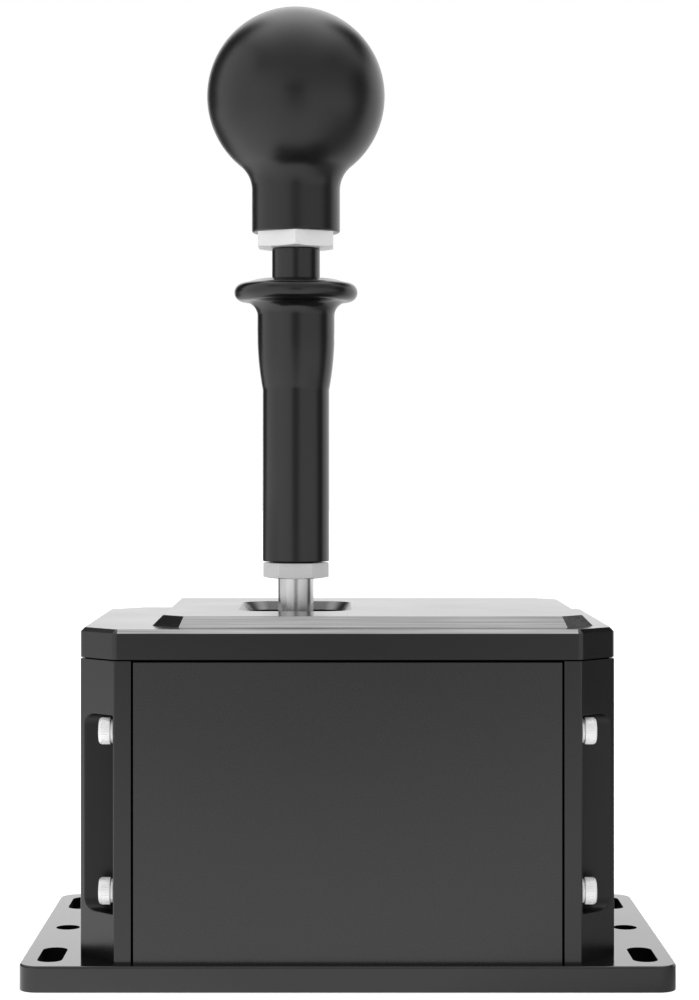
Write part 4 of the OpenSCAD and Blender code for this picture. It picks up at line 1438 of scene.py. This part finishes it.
    def data_socket(self) -> None:
        """Data socket in the rear panel, with its open port and tongue."""
        x, half, length, tall = self.port_x, self.port_case[0] / 2, *self.port_case[1:]
        foot, face, back = self.port_foot, self.half_depth, self.half_depth - self.port_depth
        middle = foot + tall / 2
        mouth_w, mouth_h = self.port_mouth[0] / 2, self.port_mouth[1] / 2
        tongue_w, tongue_h = mouth_w - mouth_h, self.port_tongue / 2
        case = Bench.block(
            "data_socket", (x - half, face - length, foot), (x + half, face, foot + tall)
        )
        ends = (x - mouth_w, back, middle - mouth_h), (x + mouth_w, face + PAST, middle + mouth_h)
        mouth = Bench.bar("port_cutter", *ends, Axis.Y, mouth_h - TOUCH, SMALL_CORNER)
        case.combine(mouth, Merge.CUT)
        tongue = Bench.block(
            "port_tongue",
            (x - tongue_w, back - PAST, middle - tongue_h),
            (x + tongue_w, face - PAST, middle + tongue_h),
        )
        case.combine(tongue, Merge.JOIN)
        case.soften(self.port_edge)
        case.dress(MOULDED, Body.HOUSING, "moulded_black", "usb_socket")


@dataclass
class Lever:
    """Shaft, tube, lock nuts and knob."""

    shaft_radius: float = 5.0
    shaft_edge: float = 0.4
    shaft_bore: float = 2.2
    shaft_ends: tuple[float, float] = (30.0, 167.7)
    plug_radius: float = 3.2
    plug_top: float = 40.0
    # Width across flats, height of the lower face, and thickness
    lower_nut: Point = (16.0, 103.9, 4.3)
    upper_nut: Point = (21.0, 196.6, 4.4)
    tube_radius: float = 6.75
    tube_foot: float = 108.2
    nut_chamfer: float = 10.0
    nut_face_drop: float = 0.3
    nut_mouth: float = 0.6
    nut_sliver: float = 0.12
    nut_edge: float = 0.05
    tube_edge: float = 0.3
    tube_room: float = 20.0
    stud_radius: float = 6.0
    stud_top: float = 216.0
    stud_edge: float = 0.8
    knob_foot: float = 201.0
    knob_neck: float = 12.4
    knob_edge: float = 0.6
    knob_fillet: float = 9.0
    ball_radius: float = 25.0
    ball_height: float = 239.4
    knob_bore_top: float = 217.0

    def build(self) -> None:
        """Builds every piece of the lever."""
        self.shaft()
        # The lower nut takes the lighter copy of the nut steel: painted light
        self.lock_nut("lower_lock_nut", self.lower_nut, self.shaft_radius, 0.0, NUT_STEEL_PAINTED_LIGHT)
        self.tube()
        self.lock_nut("upper_lock_nut", self.upper_nut, self.stud_radius, HEX_STEP, NUT_STEEL)
        self.knob()

    def shaft(self) -> None:
        """Ground steel shaft with the bore for the lock-out rod."""
        low, high = self.shaft_ends
        radius, bore, plug = self.shaft_radius, self.shaft_bore, self.plug_radius
        edge = self.shaft_edge
        profile = [
            (plug, low), (radius - edge, low), (radius, low + edge), (radius, high - edge),
            (radius - edge, high), (bore, high), (bore, self.plug_top), (plug, self.plug_top),
            (plug, low),
        ]
        shaft = Bench.turned("lever_shaft_dressed", profile, LEVER_AT)
        shaft.smooth()
        shaft.dress(SHAFT_STEEL, Body.LEVER, "bright_steel", "lever_shaft")

    def lock_nut(self, node: str, size: Point, bore: float, turn: float, finish: Finish) -> None:
        """Hexagon nut with its corners chamfered below.

        Args:
            node: The node that it stands for.
            size: Its width across flats, the height of its lower face, and its thickness.
            bore: The radius of its bore.
            turn: Its turn about the lever, in degrees.
            finish: Its finish.
        """
        flats, low, tall = size
        top, corner = low + tall, flats / math.sqrt(3)
        nut = Bench.rod("lock_nut", corner, (0.0, 0.0, low), (0.0, 0.0, top), 6)
        face, rim = flats / 2 - self.nut_face_drop, corner + self.nut_face_drop
        slope = (rim - face) * math.tan(math.radians(self.nut_chamfer))
        envelope = [(0.0, low), (face, low), (rim, low + slope), (rim, top), (0.0, top)]
        nut.combine(Bench.turned("nut_envelope", envelope), Merge.MEET)
        mouth, wide = self.nut_mouth, bore + PAST + self.nut_mouth
        hole = [
            (0.0, low - PAST), (wide, low - PAST), (bore, low + mouth), (bore, top - mouth),
            (wide, top + PAST), (0.0, top + PAST),
        ]
        nut.combine(Bench.turned("nut_bore", hole, steps=SMALL_TURN), Merge.CUT)
        # The primitive's first corner lies on Y, and the nut's on X
        spin = Matrix.Rotation(math.radians(turn + HEX_STEP), 4, "Z")
        placed = nut.copy(f"{node}_dressed", Matrix.Translation((*LEVER_AT, 0.0)) @ spin)
        nut.discard()
        placed.tidy(self.nut_sliver)
        placed.soften(self.nut_edge)
        placed.dress(finish, Body.LEVER, "bright_steel", node)

    def tube(self) -> None:
        """Black tube that the collar slides on, with the knob's stud."""
        low, top = self.tube_foot, self.upper_nut[1]
        radius, stud, bore = self.tube_radius, self.stud_radius, self.shaft_radius
        edge, tip, end = self.tube_edge, self.stud_edge, self.stud_top
        room = self.shaft_ends[1] + self.tube_room
        profile = [
            (bore, low), (radius - edge, low), (radius, low + edge), (radius, top - edge),
            (radius - edge, top), (stud, top), (stud, end - tip), (stud - tip, end), (0.0, end),
            (0.0, room), (bore, room), (bore, low),
        ]
        tube = Bench.turned("lever_tube_dressed", profile, LEVER_AT)
        tube.smooth()
        tube.dress(BLACK_COLLAR, Body.LEVER, "housing_black", "lever_tube")

    def knob(self) -> None:
        """Ball knob that flows into its neck."""
        reach, out = self.ball_radius + self.knob_fillet, self.knob_neck + self.knob_fillet
        drop = math.sqrt(reach**2 - out**2)
        join = math.degrees(math.atan2(drop, out))
        foot, edge, bore = self.knob_foot, self.knob_edge, self.stud_radius
        profile = [
            (0.0, self.knob_bore_top), (bore, self.knob_bore_top), (bore, foot + self.stud_edge),
            (bore + self.stud_edge, foot),
            *arc((self.knob_neck - edge, foot + edge), edge, -90.0, 0.0, 4),
            *arc((out, self.ball_height - drop), self.knob_fillet, 180.0, 180.0 - join, 16),
            *arc((0.0, self.ball_height), self.ball_radius, -join, 90.0, 72)[1:],
        ]
        knob = Bench.turned("shift_knob_dressed", profile, LEVER_AT, FINE_TURN)
        knob.smooth()
        knob.dress(BLACK_KNOB, Body.LEVER, "knob_black", "shift_knob")


@dataclass
class Collar:
    """Pull-up collar that frees reverse."""

    foot: float = 108.6
    top: float = 187.7
    crease: float = 156.8
    barrel_radius: float = 9.35
    grip_radius: float = 10.85
    taper: float = 15.8
    flange_radius: float = 17.35
    flange_height: float = 5.2
    flange_fillet: float = 4.0
    flange_crown: float = 0.9
    crown_width: float = 3.0
    foot_round: float = 0.25
    chamber_radius: float = 8.2
    chamber_top: float = 160.0
    bore_radius: float = 6.79
    bore_edge: float = 0.4
    pin_height: float = 171.7
    pin_radius: float = 1.25

    def build(self) -> None:
        """Builds the turned sleeve with its finger flange."""
        edge = self.flange_height / 2
        edge_z = self.top - edge - self.flange_crown
        step = self.grip_radius - self.barrel_radius
        bow = (self.taper**2 + step**2) / step / 2
        grip_z = self.crease + self.taper
        lean = math.degrees(math.asin(self.taper / bow))
        toe, fillet, mouth = self.foot_round, self.flange_fillet, self.bore_edge
        fillet_at = (self.grip_radius + fillet, edge_z - edge - fillet)
        bore, chamber = self.bore_radius, self.chamber_radius
        profile = [
            (chamber, self.foot),
            *arc((self.barrel_radius - toe, self.foot + toe), toe, -90.0, 0.0, 6),
            *arc((self.grip_radius - bow, grip_z), bow, -lean, 0.0, 16),
            *arc(fillet_at, fillet, 180.0, 90.0, 14),
            *arc((self.flange_radius - edge, edge_z), edge, -90.0, 90.0, 24),
            (self.flange_radius - edge - self.crown_width, self.top),
            (bore + mouth, self.top), (bore, self.top - mouth), (bore, self.chamber_top),
            (chamber, self.chamber_top), (chamber, self.foot),
        ]
        collar = Bench.turned("pull_collar_dressed", profile, LEVER_AT, FINE_TURN)
        x, y = LEVER_AT
        reach, height = self.grip_radius + PAST, self.pin_height
        ends = (x - reach, y, height), (x + reach, y, height)
        collar.combine(Bench.rod("pin_cutter", self.pin_radius, *ends, sides=32), Merge.CUT)
        collar.smooth()
        collar.dress(BLACK_COLLAR, Body.COLLAR, "housing_black", "pull_collar")


@dataclass
class Spring:
    """Wire coil that is held between two bodies."""

    node: str
    at: Point
    radius: float
    wire: float
    span: tuple[float, float]
    turns: int
    held: tuple[Body, Body]
    smooth_limit: float = 60.0

    def build(self) -> None:
        """Winds the coil between the heights of its span."""
        wound = Bench.coil(
            f"{self.node}_dressed", self.radius, self.wire, self.span, self.turns, self.at
        )
        wound.smooth(self.smooth_limit)
        wound.paint(SPRING_STEEL)
        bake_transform(wound.obj)
        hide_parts(self.node)


CENTRING_X = {"left": -32.4, "right": 4.0}
SPRINGS = (
    *(
        Spring(
            f"{side}_centring_spring", (x, LEVER_AT[1]), 3.7, 1.0, (20.55, 51.95), 9,
            (Body.HOUSING, Body.YOKE),
        )
        for side, x in CENTRING_X.items()
    ),
    Spring("collar_spring", LEVER_AT, 7.575, 0.8, (114.25, 157.75), 14, (Body.COLLAR, Body.LEVER)),
)

INSIDE: dict[Finish, tuple[str, ...]] = {
    BRONZE: ("front_bush", "rear_bush", "thrust_washers", "pivot_bushes", "collar_bush"),
    DARK_STEEL: (
        "gate_plate", "reverse_stop", "board_bracket", "hub_screws", "spring_stop_ring",
    ),
    GREY_INNER: ("gate_standoffs", "spring_seats", "select_yoke", "lever_hub"),
    SCREW_STEEL: (
        "gate_screws", "stop_screws", "bracket_screws", "board_screws", "board_standoffs",
        "control_board_screws",
    ),
    NUT_STEEL: ("gate_magnets", "sensor_magnet"),
    SHAFT_STEEL: (
        "yoke_pin_front", "yoke_pin_rear", "shift_pins", "spring_pins", "gate_finger",
        "lockout_rod", "lockout_cross_pin",
    ),
    LAMINATE: ("sensor_board", "control_board"),
    MOULDED: ("sensor_chip", "board_chips", "magnet_holder"),
}


def dress_inside(nodes: Mapping[str, bpy.types.Object]) -> None:
    """Gives the solids that stay their finishes.

    Args:
        nodes: The frame's solids by name.
    """
    for finish, names in INSIDE.items():
        for name in names:
            slots = nodes[name].data.materials
            slots.clear()
            slots.append(finish.material())
            LOG.info("%s takes %s", name, finish.name)


# Studio


@dataclass
class Studio:
    """Camera, floor and soft light."""

    eye: Point = (-4.05, -655.0, 136.2)
    lens: float = 84.6
    sensor: float = 36.0
    sight: tuple[float, float] = (0.01, 50.0)
    shift: tuple[float, float] = (0.0175, -0.037)
    floor_size: float = 12.0
    floor_grey: float = 0.8
    floor_glow: float = 0.62
    floor_near: tuple[float, float] = (0.12, 0.9)
    ring: Profile = (
        (-180.0, 1.22), (-162.0, 1.22), (-154.0, 0.05), (-66.0, 0.05), (-58.0, 1.10),
        (-16.0, 1.0), (-9.0, 0.05), (9.0, 0.05), (16.0, 0.84), (70.0, 0.78), (87.0, 0.10),
        (104.0, 0.10), (113.0, 0.95), (160.0, 1.1), (180.0, 1.22),
    )
    upper_ring: Profile = (
        (-180.0, 1.45), (-162.0, 1.45), (-154.0, 0.05), (-66.0, 0.05), (-58.0, 1.0), (-16.0, 0.80),
        (0.0, 0.62), (16.0, 0.64), (68.0, 0.62), (86.0, 0.08), (105.0, 0.08), (115.0, 0.95),
        (164.0, 1.3), (180.0, 1.45),
    )
    upper_rise: tuple[float, float] = (0.06, 0.16)
    floor_ring: Profile = (
        (-180.0, 1.0), (-166.0, 1.0), (-160.0, 0.1), (-136.0, 0.1), (-122.0, 0.95), (-60.0, 1.10),
        (-16.0, 0.95), (-6.0, 0.56), (-2.0, 0.46), (2.0, 0.46), (6.0, 0.56), (16.0, 0.92),
        (74.0, 0.88), (90.0, 0.12), (103.0, 0.12), (110.0, 0.9), (180.0, 1.0),
    )
    near_ring: Profile = (
        (-180.0, 1.0), (-110.0, 1.3), (-60.0, 1.3), (-20.0, 1.06), (20.0, 1.06), (50.0, 0.8),
        (70.0, 0.33), (110.0, 0.33), (130.0, 0.8), (180.0, 1.0),
    )
    overhead: Profile = (
        (-0.8, 0.55), (-0.5, 0.75), (-0.25, 1.2), (0.0, 1.7), (0.35, 2.3), (0.6, 1.9),
    )
    overhead_rise: tuple[float, float] = (0.30, 0.60)
    overhead_side: tuple[float, float] = (0.35, 0.75)
    rear_side: tuple[float, float] = (0.20, 0.45)
    overhead_rear: tuple[float, float] = (0.15, 0.45)
    side_loss: float = 0.60
    wing_x: float = -400.0
    wing_thick: float = 1.0
    wing_y: tuple[float, float] = (-250.0, 210.0)
    wing_z: tuple[float, float] = (120.0, 620.0)
    wing_glow: float = 1.0

    def build(self) -> None:
        """Sets up the studio."""
        bpy.context.scene.view_settings.view_transform = "Standard"
        self.camera()
        self.floor()
        self.wing()
        self.sky()

    def camera(self) -> None:
        """Stands the camera level, in front and a little to the left."""
        clear_selection()
        bpy.ops.object.camera_add(
            location=[x * MM for x in self.eye], rotation=(math.pi / 2, 0.0, 0.0)
        )
        camera = bpy.context.active_object
        camera.name = "camera"
        camera.data.sensor_width = self.sensor
        camera.data.lens = self.lens
        camera.data.shift_x, camera.data.shift_y = self.shift
        camera.data.clip_start, camera.data.clip_end = self.sight
        bpy.context.scene.camera = camera

    def floor(self) -> None:
        """Lays a pale floor that is white to the camera but keeps the shadow."""
        clear_selection()
        bpy.ops.mesh.primitive_plane_add(size=self.floor_size)
        floor = bpy.context.active_object
        floor.name = "floor"
        material, board = new_material("pale_floor")
        glossy, clear = board.ray("Glossy"), board.ray("Transmission")
        place = board.add("ShaderNodeTexCoord", out="Object")
        reach = board.add("ShaderNodeVectorMath", {"operation": "LENGTH"}, {0: place}, out="Value")
        far = self._ease(board, reach, self.floor_near)
        near_light = self._around(board, place, self.near_ring)
        mirrored = self._around(board, place, self.floor_ring) * far + near_light * (1.0 - far)
        matt = board.add("ShaderNodeBsdfDiffuse", {}, {"Color": (*shade(self.floor_grey), 1.0)})
        lit = board.add("ShaderNodeAddShader", {}, {0: matt, 1: board.glow(self.floor_glow)})
        lights = {0: glossy + clear, 1: lit, 2: board.glow(mirrored)}
        seen = board.add("ShaderNodeMixShader", {}, lights)
        board.add("ShaderNodeOutputMaterial", {}, {"Surface": seen})
        floor.data.materials.append(material)

    def wing(self) -> None:
        """Hangs a glowing panel clear of the floor on the left, out of the camera's sight."""
        low, high = zip((self.wing_x - self.wing_thick, self.wing_x), self.wing_y, self.wing_z)
        wing = Bench.block("side_panel", low, high).obj
        material, board = new_material("side_glow")
        board.add("ShaderNodeOutputMaterial", {}, {"Surface": board.glow(self.wing_glow)})
        wing.data.materials.append(material)
        wing.visible_camera = False

    @staticmethod
    def _ease(board: Board, value: Value, span: tuple[float, float]) -> Value:
        """Eases a value from 0 to 1 over a span.

        Args:
            board: The nodes.
            value: The value.
            span: Where it starts and ends.

        Returns:
            The eased value.
        """
        return board.add(
            "ShaderNodeMapRange",
            {"interpolation_type": "SMOOTHSTEP"},
            {"Value": value, "From Min": span[0], "From Max": span[1]},
        )

    @staticmethod
    def _around(board: Board, way: Value, ring: Profile) -> Value:
        """Reads the light round the object in a direction.

        Args:
            board: The nodes.
            way: The direction or place.
            ring: Each stop's angle from the camera's side, in degrees, and its light.

        Returns:
            The light.
        """
        x, y = board.part(way, Axis.X), board.part(way, Axis.Y)
        turn = board.add("ShaderNodeMath", {"operation": "ARCTAN2"}, {0: x, 1: 0.0 - y})
        stops = [(angle / 360.0 + 0.5, grey) for angle, grey in ring]
        return board.curve(turn / math.tau + 0.5, stops)

    def sky(self) -> None:
        """Makes the soft light round the object, white behind it to the camera."""
        world = bpy.data.worlds.new("studio")
        world.use_nodes = True
        bpy.context.scene.world = world
        board = Board(world.node_tree)
        way = board.add("ShaderNodeTexCoord", out="Generated")
        x, y, z = (board.part(way, axis) for axis in Axis)
        off = board.add("ShaderNodeMath", {"operation": "ABSOLUTE"}, {0: x})
        side = 1.0 - self.side_loss * self._ease(board, off, self.overhead_side)
        corners = self._ease(board, off, self.rear_side)
        rear = 1.0 - corners * self._ease(board, y, self.overhead_rear)
        stops = [(depth / 2 + 0.5, grey) for depth, grey in self.overhead]
        above = board.curve(y / 2.0 + 0.5, stops) * side * rear
        rise = self._ease(board, z, self.overhead_rise)
        lift = self._ease(board, z, self.upper_rise)
        level = self._around(board, way, self.ring) * (1.0 - lift)
        level = level + self._around(board, way, self.upper_ring) * lift
        light = level * (1.0 - rise) + above * rise
        seen = board.ray("Camera") + board.ray("Transmission")
        strength = seen + (1.0 - seen) * light
        back = board.add(
            "ShaderNodeBackground", {}, {"Color": (1.0, 1.0, 1.0, 1.0), "Strength": strength}
        )
        board.add("ShaderNodeOutputWorld", {}, {"Surface": back})


def main() -> None:
    """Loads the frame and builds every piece."""
    logging.basicConfig(level=logging.INFO, format="%(name)s: %(message)s")
    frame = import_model()
    Studio().build()
    dress_inside(frame["nodes"])
    Housing().build()
    Lever().build()
    Collar().build()
    for spring in SPRINGS:
        spring.build()


if __name__ == "__main__":
    main()
